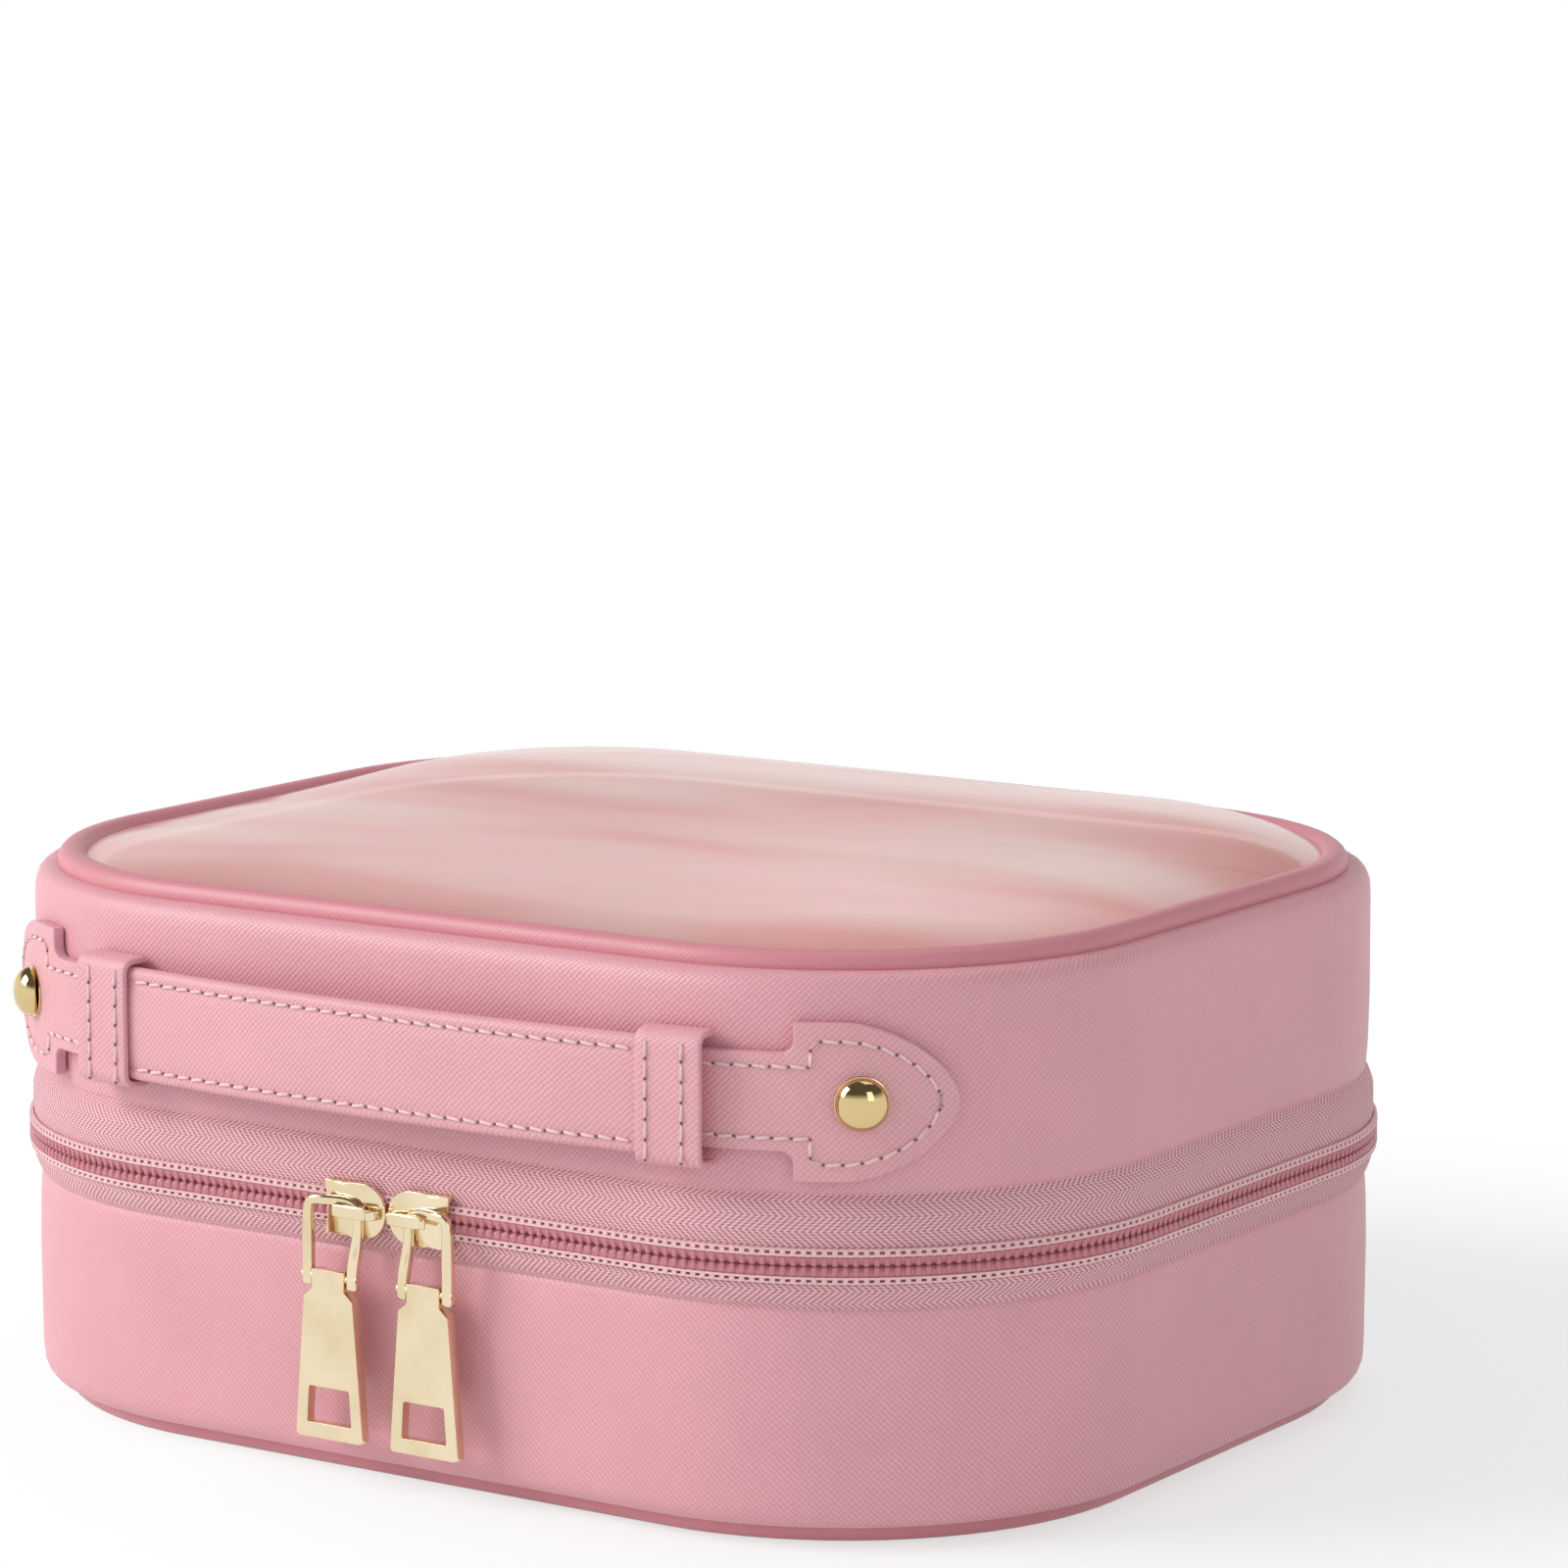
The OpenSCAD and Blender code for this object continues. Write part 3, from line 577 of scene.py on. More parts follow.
# The coil: a nylon spiral on each tape's edge, held by a row of chain stitches. Seen from
# outside it is a ladder of pale stitches beside a darker channel of coil turns.
def string_along(name, unit, points, pitch):
    """Repeats a small piece along a line of points, bending it round the turns."""
    line = bpy.data.curves.new(name + "_line", "CURVE")
    line.dimensions = "3D"
    line.twist_mode = "Z_UP"
    spline = line.splines.new("POLY")
    spline.points.add(len(points) - 1)
    for p, q in zip(spline.points, points):
        p.co = (*q, 1)
    guide = bpy.data.objects.new(name + "_line", line)
    bpy.context.scene.collection.objects.link(guide)
    length = sum((Vector(a) - Vector(b)).length for a, b in zip(points, points[1:]))
    row = unit.copy()
    row.data = unit.data.copy()
    name_piece(row, name)
    bpy.context.scene.collection.objects.link(row)
    row.data.transform(Matrix.Translation((pitch * 0.5, 0, 0)))
    pick(row)
    array = row.modifiers.new("row", "ARRAY")
    array.use_relative_offset = False
    array.use_constant_offset = True
    array.constant_offset_displace = (pitch, 0, 0)
    array.count = max(1, int(length / pitch))
    bpy.ops.object.modifier_apply(modifier=array.name)
    bend = row.modifiers.new("bend", "CURVE")
    bend.object = guide
    bpy.ops.object.modifier_apply(modifier=bend.name)
    bpy.data.objects.remove(guide)
    return row


def small_block(size, place, bevel, segments=1):
    """A rounded block, in mm, as part of a small piece."""
    bpy.ops.object.select_all(action="DESELECT")
    bpy.ops.mesh.primitive_cube_add(size=mm, location=[c * mm for c in place])
    block = bpy.context.object
    bpy.ops.object.mode_set(mode="EDIT")
    bpy.ops.mesh.select_all(action="SELECT")
    bpy.ops.transform.resize(value=size)
    if bevel:
        bpy.ops.mesh.bevel(offset=bevel * mm, segments=segments)
    bpy.ops.object.mode_set(mode="OBJECT")
    bpy.ops.object.transform_apply(location=True)
    return block


def join_up(name, blocks):
    bpy.ops.object.select_all(action="DESELECT")
    for block in blocks:
        block.select_set(True)
    bpy.context.view_layer.objects.active = blocks[0]
    bpy.ops.object.join()
    name_piece(blocks[0], name)
    return blocks[0]


def zip_line(out, up):
    """Points 2 mm or 2 degrees apart along the zip, from its left end at the back to its right."""
    r = corner_r + out * mm
    right = [(2 * i * mm, -half_d - out * mm) for i in range(27)]
    for a in [math.radians(2 * i) for i in range(1, 46)]:
        right.append((run_x + r * math.sin(a), -run_y - r * math.cos(a)))
    right += [(half_w + out * mm, -run_y + i * 2 * mm) for i in range(1, 33)]
    for a in [math.radians(2 * i) for i in range(1, 39)]:
        right.append((run_x + r * math.cos(a), run_y + r * math.sin(a)))
    line = [(-x, y) for x, y in reversed(right[1:])] + right
    return [(x, y, up * mm) for x, y in line]


def nylon(name, colour, roughness):
    return speckled(name, tint(colour, 0.85), tint(colour, 1.12), 1400, roughness)


stitch_nylon = nylon("stitch_nylon", (0.82, 0.53, 0.54), 0.5)
coil_nylon = nylon("coil_nylon", (0.56, 0.205, 0.24), 0.3)
coil_out, coil_pitch = 1.0, 1.7
for half, sign in (("base", -1), ("lid", 1)):
    core = []
    for a in [2 * math.pi * i / 10 for i in range(10)]:
        core.append((coil_out + 0.95 * math.cos(a), part_z + sign * 1.36 + 1.34 * math.sin(a)))
    body = lead_round(draw_section(half + "_coil_core", core), turn=77)
    smooth(body, 60)
    body.data.materials.append(coil_nylon)
    stitch = join_up("stitch", [
        small_block((0.85, 0.5, 0.9), (0, -0.85, sign * 2.35), 0),
        small_block((coil_pitch, 0.5, 0.36), (0, -0.95, sign * 1.92), 0),
        small_block((coil_pitch, 0.5, 0.34), (0, -0.75, sign * 2.78), 0),
    ])
    stitch.data.materials.append(stitch_nylon)
    rung = small_block((1.0, 0.6, 1.62), (0, -0.86, sign * 0.87), 0.24)
    rung.data.materials.append(coil_nylon)
    rows = []
    for name, unit in (("_stitch_row", stitch), ("_rung_row", rung)):
        rows.append(string_along(half + name, unit, zip_line(coil_out, part_z), coil_pitch * mm))
    for unit in (stitch, rung):
        bpy.data.objects.remove(unit)
    coil = join_up(half + "_coil", [body] + rows)
    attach(coil, half)
    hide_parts(half + "_zip_coil")

# Zip sliders: die-cast, plated pale gold. Each has a front plate, rounded where the two
# meet and winged at the other end, a back plate, a post between them and a hooked crown.
def plated(name, pale, deep, low, high):
    """Plated metal: slightly uneven in tone and polish, with fine wear."""
    material, tree, shader = finish(name)
    where = add_node(tree, "TexCoord", {}, "Object")
    cloud = add_node(tree, "TexNoise", {"Vector": where, "Scale": 80, "Detail": 3}, "Fac")
    scratch = add_node(tree, "TexNoise", {"Vector": where, "Scale": 2600}, "Fac")
    feed(tree, shader, {
        "Base Color": ramp(tree, cloud, deep, pale, 0.3, 0.65),
        "Roughness": add_node(tree, "MapRange", {"Value": cloud, "To Min": low, "To Max": high}),
        "Metallic": 1,
        "Normal": pressed(tree, scratch, 0.05, 0.02 * mm),
    })
    return material


def cut_plate(name, loops, thick, bevel=0.0, segments=2, place=None):
    """A blank cut from plate: loops of (x, z) in mm, filled, thickened towards -Y, edges eased."""
    bpy.ops.object.select_all(action="DESELECT")
    bpy.ops.mesh.primitive_plane_add(size=mm)
    piece = bpy.context.object
    name_piece(piece, name)
    bpy.ops.object.mode_set(mode="EDIT")
    for i, loop in enumerate(loops):
        if i:
            bpy.ops.mesh.select_all(action="DESELECT")
            bpy.ops.mesh.primitive_plane_add(size=mm)
        bpy.ops.mesh.merge(type="CENTER")
        bpy.ops.transform.translate(value=(loop[0][0] * mm, 0, loop[0][1] * mm))
        for (a, b), (c, d) in zip(loop, loop[1:] + loop[:1]):
            bpy.ops.mesh.extrude_vertices_move(
                TRANSFORM_OT_translate={"value": ((c - a) * mm, 0, (d - b) * mm)}
            )
    bpy.ops.mesh.select_all(action="SELECT")
    bpy.ops.mesh.remove_doubles(threshold=1e-6)
    if len(loops) > 1:
        bpy.ops.mesh.fill(use_beauty=True)
    else:
        bpy.ops.mesh.edge_face_add()
    bpy.ops.mesh.select_all(action="SELECT")
    bpy.ops.mesh.extrude_region_move(TRANSFORM_OT_translate={"value": (0, -thick * mm, 0)})
    bpy.ops.object.mode_set(mode="OBJECT")
    if place:
        piece.data.transform(place)
    close_up(piece)
    if bevel:
        ease(piece, bevel, segments)
    return piece


def ease(piece, bevel, segments=2):
    """Rounds the sharp edges and shades the rest smooth."""
    pick(piece)
    edge = piece.modifiers.new("edge", "BEVEL")
    edge.width = bevel * mm
    edge.segments = segments
    edge.limit_method = "ANGLE"
    edge.angle_limit = math.radians(40)
    bpy.ops.object.modifier_apply(modifier=edge.name)
    smooth(piece, 40)


def at(x, out, up):
    """Moves a blank to a place on the front: x, depth outwards and height, in mm."""
    return Matrix.Translation((x * mm, -half_d - out * mm, up * mm))


def to_side(piece, side):
    """Leaves a right-hand piece as it is and mirrors a left-hand one."""
    piece.data.transform(Matrix.Scale(side, 4, (1, 0, 0)))
    close_up(piece)


def settle(piece, side, material, body, slot, *nodes):
    to_side(piece, side)
    dress(piece, material)
    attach(piece, body)
    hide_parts(*nodes)


pale_gold = plated("pale_gold", (0.88, 0.745, 0.525), (0.77, 0.63, 0.41), 0.1, 0.18)
sides = ((1, "right"), (-1, "left"))
front_y = -half_d / mm
slider_x, crown_x, crown_out, pin_z = 6.75, 10.15, 5.75, 36.9
wing = [(1.2, 4.75), (2.6, 4.3), (6.3, 4.85), (6.5, 4.3), (6.0, 1.6)]
plate_line = (
    arc(-1.7, 0, 4.8, 90, 270, 14) + [(x, -z) for x, z in wing] + list(reversed(wing))
)
back_line = [(x * 0.95, z * 0.95) for x, z in plate_line]
crown_line = [
    (0.75, 3.0), (0.95, 4.7), (1.8, 5.9), (3.4, 6.4), (8.6, 6.4), (9.7, 6.1), (10.1, 5.65),
    (9.8, 5.25), (8.9, 5.12), (3.9, 5.12), (2.7, 4.9), (2.1, 4.2), (1.95, 3.0),
]
upright = (
    Matrix.Translation((0, -half_d, (part_z + 0.85) * mm)) @ Matrix.Rotation(math.pi / 2, 4, "X")
)
for side, word in sides:
    front = cut_plate("front_plate", [plate_line], 0.95, 0.22, 2, at(slider_x, 2.35, part_z))
    back = cut_plate("back_plate", [back_line], 0.85, 0.2, 2, at(slider_x, -1.8, part_z))
    crown = cut_plate("crown", [crown_line], 1.7, 0.3, 3, upright)
    lip = small_block((7.0, 0.75, 2.2), (5.9, front_y - 6.05, part_z + 0.3), 0.34, 3)
    flanges = []
    for z in (-4.3, 4.3):
        place = (slider_x + 3.7, front_y - 2.0, part_z + z)
        flanges.append(small_block((5.0, 2.3, 0.75), place, 0.2, 2))
    post = small_block((4.6, 4.4, 1.7), (slider_x - 2.2, front_y - 0.4, part_z), 0.3, 2)
    slider = join_up("zip_slider_body_" + word, [front, back, crown, lip, post] + flanges)
    smooth(slider, 40)
    settle(slider, side, pale_gold, "zip_slider_" + word, "gold", "slider_" + word)

# Bails: flat-sided wire bent to a stirrup through the slider's crown, its two legs riveted
# on a pin that carries the pull.
def bent_bar(name, points, size, cyclic=False, smooth_line=True, fuller=None):
    """A bar of rounded section, (across, deep) in mm, along points; fuller thickens it at each."""
    outline = bpy.data.curves.new(name + "_section", "CURVE")
    ring = outline.splines.new("POLY")
    steps, squareness = 16, 0.62
    ring.points.add(steps - 1)
    for i, p in enumerate(ring.points):
        a = 2 * math.pi * i / steps
        x, y = [math.copysign(abs(c) ** squareness, c) for c in (math.cos(a), math.sin(a))]
        p.co = (x * size[0] / 2 * mm, y * size[1] / 2 * mm, 0, 1)
    ring.use_cyclic_u = True
    section = bpy.data.objects.new(name + "_section", outline)
    bpy.context.scene.collection.objects.link(section)
    line = bpy.data.curves.new(name, "CURVE")
    line.dimensions = "3D"
    line.twist_mode = "Z_UP" if cyclic else "MINIMUM"
    spline = line.splines.new("NURBS" if smooth_line else "POLY")
    spline.points.add(len(points) - 1)
    for p, q, thick in zip(spline.points, points, fuller or [1] * len(points)):
        p.co = (*[c * mm for c in q], 1)
        p.radius = thick
    spline.use_cyclic_u = cyclic
    if smooth_line:
        spline.order_u = 4
        spline.use_endpoint_u = not cyclic
        spline.resolution_u = 5
    line.bevel_mode = "OBJECT"
    line.bevel_object = section
    line.use_fill_caps = not cyclic
    bar = bpy.data.objects.new(name, line)
    bpy.context.scene.collection.objects.link(bar)
    pick(bar)
    bpy.ops.object.convert(target="MESH")
    bar = bpy.context.object
    name_piece(bar, name)
    bpy.data.objects.remove(section)
    return bar


outer_leg, inner_leg = crown_x + 4.75, crown_x - 4.75
bail_line = [
    (outer_leg, crown_out, pin_z - 1.7), (outer_leg, crown_out, pin_z - 0.6),
    (outer_leg, crown_out, 40), (outer_leg, crown_out, 45.5), (outer_leg, crown_out, 49.4),
    (13.8, crown_out, 50.2), (11.8, 5.6, 50.2), (9.6, 4.7, 50.2), (7.6, 4.06, 50.0), (5.8, 4.0, 49.4),
    (inner_leg, 4.0, 47.8), (inner_leg, 4.0, 46), (inner_leg, 4.5, 42.5), (inner_leg, crown_out, 39),
    (inner_leg, crown_out, pin_z - 0.6), (inner_leg, crown_out, pin_z - 1.7),
]
leg_top, leg_fuller = 46, 1.25
for side, word in sides:
    bail = bent_bar(
        "zip_bail_wire_" + word, [(x, front_y - out, z) for x, out, z in bail_line], (1.7, 1.45),
        fuller=[leg_fuller if z < leg_top else 1 for x, out, z in bail_line],
    )
    ease(bail, 0.25, 2)
    settle(bail, side, pale_gold, "zip_bail_" + word, "gold", "bail_" + word)
    dress(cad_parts["bail_pin_" + word], pale_gold)

# Pulls: tapered plates of the same plated metal, held at the neck by the bail's pin, with
# a window near the lower end, edges eased and polished.
pull_line = (
    [(-3.4, 1.2), (-3.4, -2.2), (-5.2, -3.7)] + arc(-6.35, -27.7, 0.8, 180, 270, 5)
    + arc(6.35, -27.7, 0.8, 270, 360, 5) + [(5.2, -3.7), (3.4, -2.2), (3.4, 1.2)]
)
pull_window = (
    arc(-4.3, -25.45, 0.45, 180, 270, 3) + arc(4.3, -25.45, 0.45, 270, 360, 3)
    + arc(3.9, -19.85, 0.45, 0, 90, 3) + arc(-3.9, -19.85, 0.45, 90, 180, 3)
)
pull_t = 2.0
for side, word in sides:
    pull = cut_plate(
        "zip_pull_tag_" + word, [pull_line, pull_window], pull_t, 0.32, 3,
        at(crown_x, crown_out - pull_t / 2, pin_z),
    )
    settle(pull, side, pale_gold, "zip_pull_" + word, "gold", "pull_" + word)

# The handle's end tabs: two layers of leather sewn round the edge and riveted to the lid's
# front corners, a spade at the rivet and a neck that runs into the strap's keeper.
def lay_by(piece, rule):
    """Grain from a rule that turns a point's place into its place on the hide."""
    grain = piece.data.uv_layers.new(name="grain")
    for loop in piece.data.loops:
        grain.data[loop.index].uv = rule(*piece.data.vertices[loop.vertex_index].co)


def along_front(x, y, z):
    """For pieces that lie along the front: along the wall, and up it."""
    along, out = way_round(x, min(y, -run_y - 1e-6))
    return along, z - out


tab_sin, tab_cos = 0.5807, 0.8141
tab_mid, handle_z = 61.35, 76.0
tab_back, tab_t, tab_seam, rivet_seat = 60.55, 2.1, 62.72, 62.5


def on_corner(u, v, r):
    """A point of the tab's pattern, bent round the corner at radius r; all in mm."""
    a = math.asin(tab_sin) + math.asin(u / tab_mid)
    return (run_x + r * mm * math.sin(a), -run_y - r * mm * math.cos(a), (handle_z + v) * mm)


def spade(half_h, back, tip, bulge, n=16):
    """Upper half of the spade, from its back corner to its tip."""
    power = 2 / 1.72
    nose = []
    for a in [math.pi / 2 * (1 - i / n) for i in range(n)]:
        nose.append((bulge + (tip - bulge) * math.cos(a) ** power, half_h * math.sin(a) ** power))
    return [(back, half_h)] + nose + [(tip, 0.0)]


def both_halves(upper):
    """The upper half of a pattern, and its lower half from the tip back."""
    return upper + [(u, -v) for u, v in reversed(upper[:-1])]


def thread_row(name, points, length=3.3):
    """A row of stitches, each a short twist of thread between two dark dots that paint the shade in
    the needle holes.
    """
    bpy.ops.object.select_all(action="DESELECT")
    bpy.ops.mesh.primitive_cylinder_add(
        vertices=8, radius=0.34 * mm, depth=(length - 0.6) * mm, rotation=(0, math.radians(97), 0)
    )
    twist = bpy.context.object
    bpy.ops.object.transform_apply(rotation=True)
    bpy.ops.object.mode_set(mode="EDIT")
    bpy.ops.mesh.select_all(action="SELECT")
    bpy.ops.mesh.bevel(offset=0.17 * mm, segments=1)
    bpy.ops.object.mode_set(mode="OBJECT")
    twist.data.materials.append(thread)
    # A near-black dot at the stitch's end: painted shade of the needle hole.
    bpy.ops.mesh.primitive_ico_sphere_add(
        subdivisions=1, radius=0.28 * mm, location=(-length / 2 * mm, 0, 0)
    )
    shade_dot = bpy.context.object
    bpy.ops.object.transform_apply(location=True)
    shade_dot.data.materials.append(hole_shade)
    unit = join_up("stitch_unit", [twist, shade_dot])
    row = string_along(name, unit, points, length * mm)
    bpy.data.objects.remove(unit)
    smooth(row, 60)
    return row


thread = nylon("thread", (0.88, 0.62, 0.63), 0.5)
# Near-black, for the painted shade in the needle holes.
hole_shade = nylon("hole_shade", (0.26, 0.08, 0.10), 0.8)
handle_leather = pink_leather("handle_leather", (0.735, 0.365, 0.4))
edge_paint = nylon("edge_paint", (0.68, 0.345, 0.415), 0.4)


def paint_edges(piece, steep=1.0):
    """Edge paint on the faces that look along the wall, and up or down no more than steep."""
    piece.data.materials.append(edge_paint)
    for face in piece.data.polygons:
        x, y, z = face.center
        from_run = math.copysign(max(abs(x) - run_x, 0), x)
        out = Vector((from_run, min(y + run_y, -1e-6), 0)).normalized()
        if abs(face.normal.dot(out)) < 0.975 and abs(face.normal.z) <= steep:
            face.material_index = 1


tab_line = both_halves(
    [(-32.1, 8.25)] + arc(-13.0, 10.25, 2.0, 270, 360, 5) + spade(13.25, -11, 16, -3)
)
seam = both_halves([(-32.0, 5.95), (-8.2, 5.95)] + spade(10.25, -8.2, 12.8, -2.6, 24))
for side, word in sides:
    tab = cut_plate("handle_end_" + word, [tab_line], tab_t)
    bpy.ops.object.mode_set(mode="EDIT")
    for i in range(23):
        bpy.ops.mesh.select_all(action="SELECT")
        bpy.ops.mesh.bisect(plane_co=((-30.5 + 2 * i) * mm, 0, 0), plane_no=(1, 0, 0))
    bpy.ops.object.mode_set(mode="OBJECT")
    for v in tab.data.vertices:
        v.co = on_corner(v.co.x / mm, v.co.z / mm, tab_back - v.co.y / mm)
    close_up(tab)
    ease(tab, 1.0, 5)
    settle(tab, side, handle_leather, "lid", "cover", "handle_tab_" + word)
    lay_by(tab, along_front)
    paint_edges(tab)
    path = []
    for (a, b), (c, d) in zip(seam, seam[1:]):
        n = max(1, int(math.hypot(c - a, d - b) / 0.8))
        for i in range(n):
            path.append(on_corner(a + (c - a) * i / n, b + (d - b) * i / n, tab_seam))
    path.append(on_corner(*seam[-1], tab_seam))
    stitches = thread_row("handle_end_stitches_" + word, path, 3.2)
    to_side(stitches, side)
    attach(stitches, "lid")

# Rivets: two polished brass-coloured domes, each on a thin collar, pushed through the tab
# and the lid's wall and clenched inside over a round washer. The washers stay as the
# solids built them.
rivet_gold = plated("rivet_gold", (0.74, 0.58, 0.30), (0.66, 0.50, 0.245), 0.05, 0.11)
dome_r, collar_r = 4.5 * mm, 4.65 * mm
outwards = Vector((tab_sin, -tab_cos, 0)).to_track_quat("Z", "Y").to_matrix().to_4x4()
domes = []
for side, word in sides:
    bpy.ops.object.select_all(action="DESELECT")
    bpy.ops.mesh.primitive_uv_sphere_add(segments=40, ring_count=24, radius=dome_r)
    dome = bpy.context.object
    bpy.ops.object.mode_set(mode="EDIT")
    bpy.ops.mesh.select_all(action="SELECT")
    bpy.ops.mesh.bisect(
        plane_co=(0, 0, 0.4 * mm), plane_no=(0, 0, 1), clear_inner=True, use_fill=True
    )
    bpy.ops.mesh.select_all(action="SELECT")
    bpy.ops.transform.resize(value=(1, 1, 0.68))
    bpy.ops.object.mode_set(mode="OBJECT")
    bpy.ops.mesh.primitive_cylinder_add(
        vertices=40, radius=collar_r, depth=0.6 * mm, location=(0, 0, 0.15 * mm)
    )
    collar = bpy.context.object
    bpy.ops.object.transform_apply(location=True)
    ease(collar, 0.2, 2)
    head = join_up("rivet_head", [dome, collar])
    head.data.transform(Matrix.Translation(on_corner(0, 0, rivet_seat)) @ outwards)
    to_side(head, side)
    smooth(head, 40)
    domes.append(head)
rivets = join_up("handle_rivet_heads", domes)
dress(rivets, rivet_gold)
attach(rivets, "lid")
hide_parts("handle_rivets")
dress(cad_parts["rivet_washers"], rivet_gold)

# The grip: a strap of leather folded over a filler and sewn along both edges. It bows out
# from the wall.
bow_y, bow_r, strap_out = 366.8, 464.8, 6


def bowed(piece, start, end, steps):
    """Leads a section drawn at the middle along the bow, from one x in mm to another."""
    a, b = math.asin(start / (bow_r + 2)), math.asin(end / (bow_r + 2))
    bpy.ops.mesh.select_all(action="SELECT")
    bpy.ops.mesh.edge_face_add()
    bpy.ops.mesh.select_all(action="SELECT")
    bpy.ops.mesh.extrude_region_move(TRANSFORM_OT_translate={"value": (0, 0, 0)})
    bpy.ops.mesh.spin(steps=steps, angle=-(b - a), center=(0, bow_y * mm, 0), axis=(0, 0, 1))
    bpy.ops.object.mode_set(mode="OBJECT")
    pivot = Matrix.Translation((0, bow_y * mm, 0))
    piece.data.transform(pivot @ Matrix.Rotation(a, 4, "Z") @ pivot.inverted())
    close_up(piece)
    return piece


def on_bow(x, out, up):
    """A point on the bowed strap: x, depth from the strap's back and height, in mm."""
    r = bow_r + out
    return (x * mm, (bow_y - math.sqrt(r * r - x * x)) * mm, up * mm)


def on_strap(section):
    """Moves a section drawn about the strap's back to where the strap is."""
    return [(strap_out + out, handle_z + up) for out, up in section]


def flex(piece):
    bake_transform(piece)


upper = [
    (0.0, 0.0), (0.0, 9.3), (0.35, 9.85), (1.2, 10.0), (2.0, 9.8), (2.5, 9.2), (2.6, 8.5),
    (2.35, 7.75), (2.6, 7.0), (2.75, 5.0), (2.8, 0.0),
]
strap_line = upper + [(out, -up) for out, up in reversed(upper[1:-1])]
bend_out = [(-1.6, 11.5), (1.5, 11.5), (2.6, 11.3), (3.4, 10.8), (3.95, 9.95), (4.15, 8.8)]
bend_in = [(-1.6, 10.3), (1.6, 10.3), (2.3, 10.1), (2.75, 9.65), (2.95, 8.9)]
loop_line = (
    bend_out + [(out, -up) for out, up in reversed(bend_out)]
    + [(out, -up) for out, up in bend_in] + list(reversed(bend_in))
)
seam_up = 7.75
for side, word in sides:
    strap = bowed(draw_section("grip_strap_" + word, on_strap(strap_line)), 0, 63.5, 16)
    smooth(strap, 50)
    keeper = bowed(draw_section("grip_keeper_" + word, on_strap(loop_line)), 53.9, 65.9, 6)
    ease(keeper, 0.4, 3)
    for piece in (strap, keeper):
        to_side(piece, side)
        lay_by(piece, along_front)
        piece.data.materials.append(handle_leather)
    paint_edges(keeper, 0.22)
    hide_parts("handle_strap")
    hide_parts("keeper_" + word)
    rows = []
    for up in (-seam_up, seam_up):
        rows.append(thread_row("row", [on_bow(x, 2.55, handle_z + up) for x in range(55)]))
    for x in (56.3, 62.9):
        line = [on_bow(x, 4.25, handle_z - 10.4 + i * 0.8) for i in range(27)]
        rows.append(thread_row("row", line, 3.4))
    stitches = join_up("grip_stitches_" + word, rows)
    to_side(stitches, side)
    for piece in (strap, keeper, stitches):
        flex(piece)

# The spine: a panel of the cover's leather over a strip of board, lined with satin and
# sewn to both halves at the back. It is the case's hinge and folds along its two long
# edges.
def back_at(out):
    return Matrix.Translation((0, half_d + out * mm, 0))


spine_line = [(-64, 41.3), (64, 41.3), (64, 59.7), (-64, 59.7)]
cover = cut_plate("spine_panel", [spine_line], 1.1, 0.35, 3, back_at(0.9))
inner = cut_plate("spine_satin", [spine_line], 0.6, 0.15, 2, back_at(-1.8))
for piece, material, node, slot in (
    (cover, cover_leather, "spine_cover", "cover"), (inner, rim_satin, "spine_lining", "satin"),
):
    lay_by(piece, lambda x, y, z: (x, z))
    piece.data.materials.append(material)
    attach(piece, "spine")
    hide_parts(node)
rows = []
for up in (43.6, 57.4):
    line = [(x * mm, half_d + 0.93 * mm, up * mm) for x in range(-62, 63)]
    rows.append(thread_row("row", line))
stitches = join_up("spine_stitches", rows)
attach(stitches, "spine")

# The two clear pouches: film between a woven binding, a zip across each, and a satin strip
# sewn on at the back, hemmed over the spine.
pouch_x, pouch_y, pouch_r, pouch_mid_y, pouch_z, middle_z = 94, 72, 36, 6, 44.0, 50.5
strip_line = [
    (72, 45.6), (77, 45.7), (81, 46.8), (88.4, 49.05), (89.1, 49.3), (88.4, 49.75), (80.5, 47.6),
    (77, 46.5), (72, 46.4),
]
strip_w, tooth_pitch = 104, 1.3
across = (
    Matrix.Translation((-strip_w / 2 * mm, 0, 0)) @ Matrix.Rotation(math.pi / 2, 4, "Z")
)
turned_over = (
    Matrix.Translation((0, 0, 2 * middle_z * mm)) @ Matrix.Rotation(math.pi, 4, "Y")
)


def pouch_ring(inset, up):
    """Points round the pouch's rounded plan."""
    x, y = pouch_x - pouch_r, pouch_y - pouch_r
    ring = []
    for cx, cy, start in ((x, y, 0), (-x, y, 90), (-x, -y, 180), (x, -y, 270)):
        for a, b in arc(cx, cy, pouch_r - inset, start, start + 90, 12):
            ring.append((a, b + pouch_mid_y, up))
    return ring


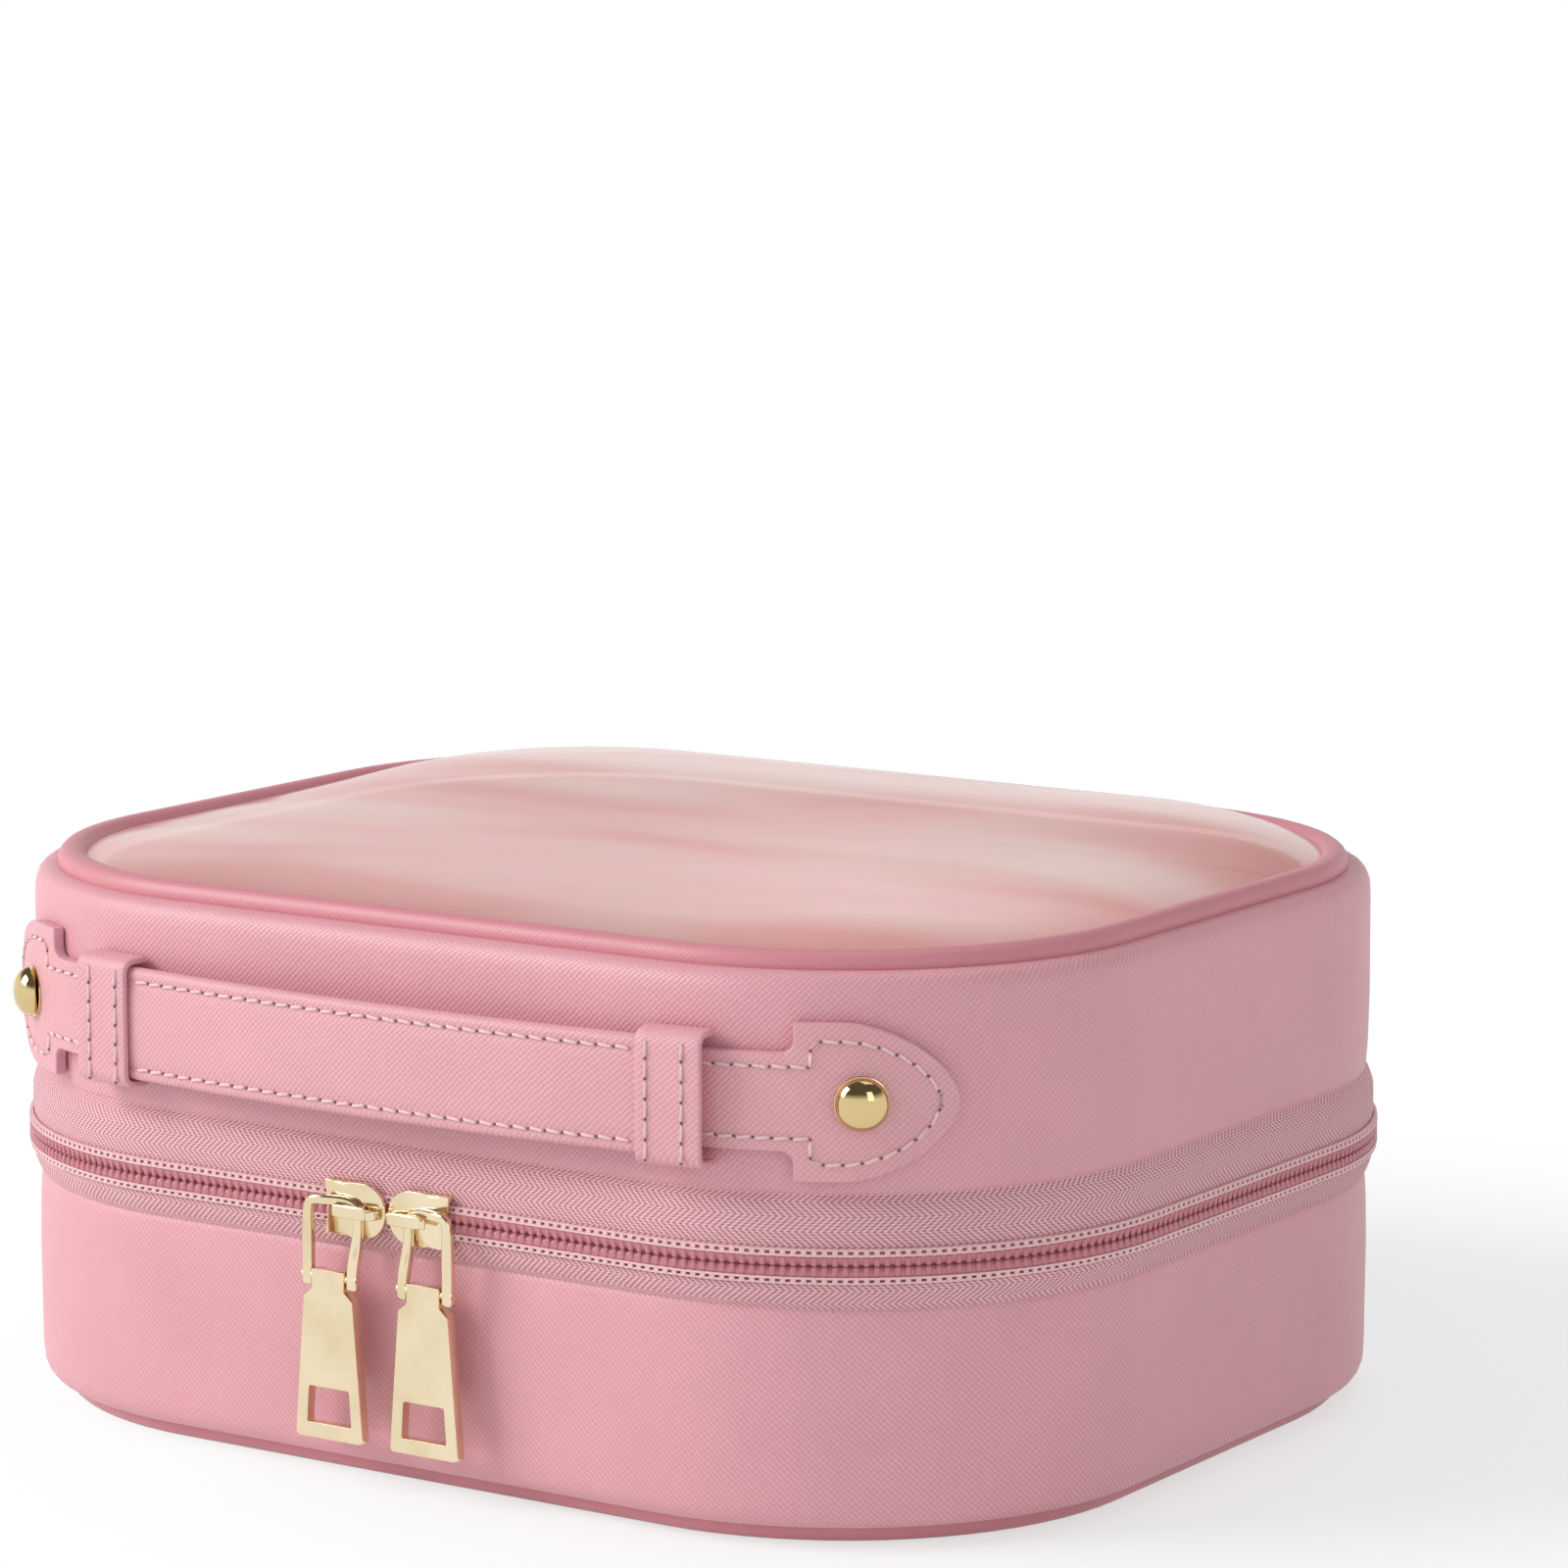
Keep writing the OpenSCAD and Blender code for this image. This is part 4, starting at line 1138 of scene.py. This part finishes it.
pouch_film = clear_film("pouch_film", (0.93, 0.80, 0.80), (0.88, 0.64, 0.64), 0.05, 0.45)
pouch_web = woven("pouch_web", (0.70, 0.36, 0.39), 0.5 * mm, gather=0.15)
for word, place, zip_y, web_l in (
    ("lower", Matrix.Identity(4), 51, 180), ("upper", turned_over, 38, 182),
):
    body = "page_" + word
    binding = bent_bar(
        "pouch_binding_" + word, pouch_ring(2.5, pouch_z), (2.4, 4.9), cyclic=True, smooth_line=False
    )
    lay_by(
        binding,
        lambda x, y, z: (math.atan2(y - pouch_mid_y * mm, x) * 0.08, z + math.hypot(x, y)),
    )
    films = []
    for face, height in (("back", -0.75), ("front", 0.75)):
        film = film_sheet(
            "pouch_" + face + "_" + word, 91 * mm, 69 * mm, 33 * mm, pouch_mid_y * mm, (40, 34),
            lambda x, y, edge: (pouch_z + height) * mm
            + 0.18 * mm * noise.noise(Vector((x * 25, y * 25, height))),
        )
        film.data.materials.append(pouch_film)
        films.append((film, body + "_" + face, "clear"))
    webs = []
    for edge in (-1, 1):
        webs.append(
            small_block((web_l, 8.2, 0.5), (0, zip_y + edge * 5.5, pouch_z + 1.35), 0.15)
        )
    web = join_up("pouch_zip_tape_" + word, webs)
    lay_by(web, lambda x, y, z: (x, y))
    tooth = join_up(
        "turn", [small_block((0.8, 1.9, 1.5), (0, s * 0.95, 0), 0.25) for s in (-1, 1)]
    )
    tooth.data.materials.append(coil_nylon)
    line = [(x * mm, zip_y * mm, (pouch_z + 1.0) * mm) for x in (-89, 89)]
    coil = string_along("pouch_zip_coil_" + word, tooth, line, tooth_pitch * mm)
    bpy.data.objects.remove(tooth)
    strip = cut_plate("pouch_hinge_strip_" + word, [strip_line], strip_w, 0.2, 2, across)
    lay_by(strip, lambda x, y, z: (x, y + z))
    cloths = {"binding": pouch_web, "tape": tape_web, "satin": rim_satin}
    pieces = films + [
        (binding, body + "_binding", "binding"), (web, body + "_tape", "tape"),
        (coil, body + "_coil", "coil"), (strip, body + "_strip", "satin"),
    ]
    for piece, node, slot in pieces:
        piece.data.transform(place)
        close_up(piece)
        smooth(piece, 50)
        if slot in cloths:
            piece.data.materials.append(cloths[slot])
        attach(piece, body)
        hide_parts(node)
    for fitting in ("slider", "pull"):
        dress(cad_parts[body + "_" + fitting], pale_gold)
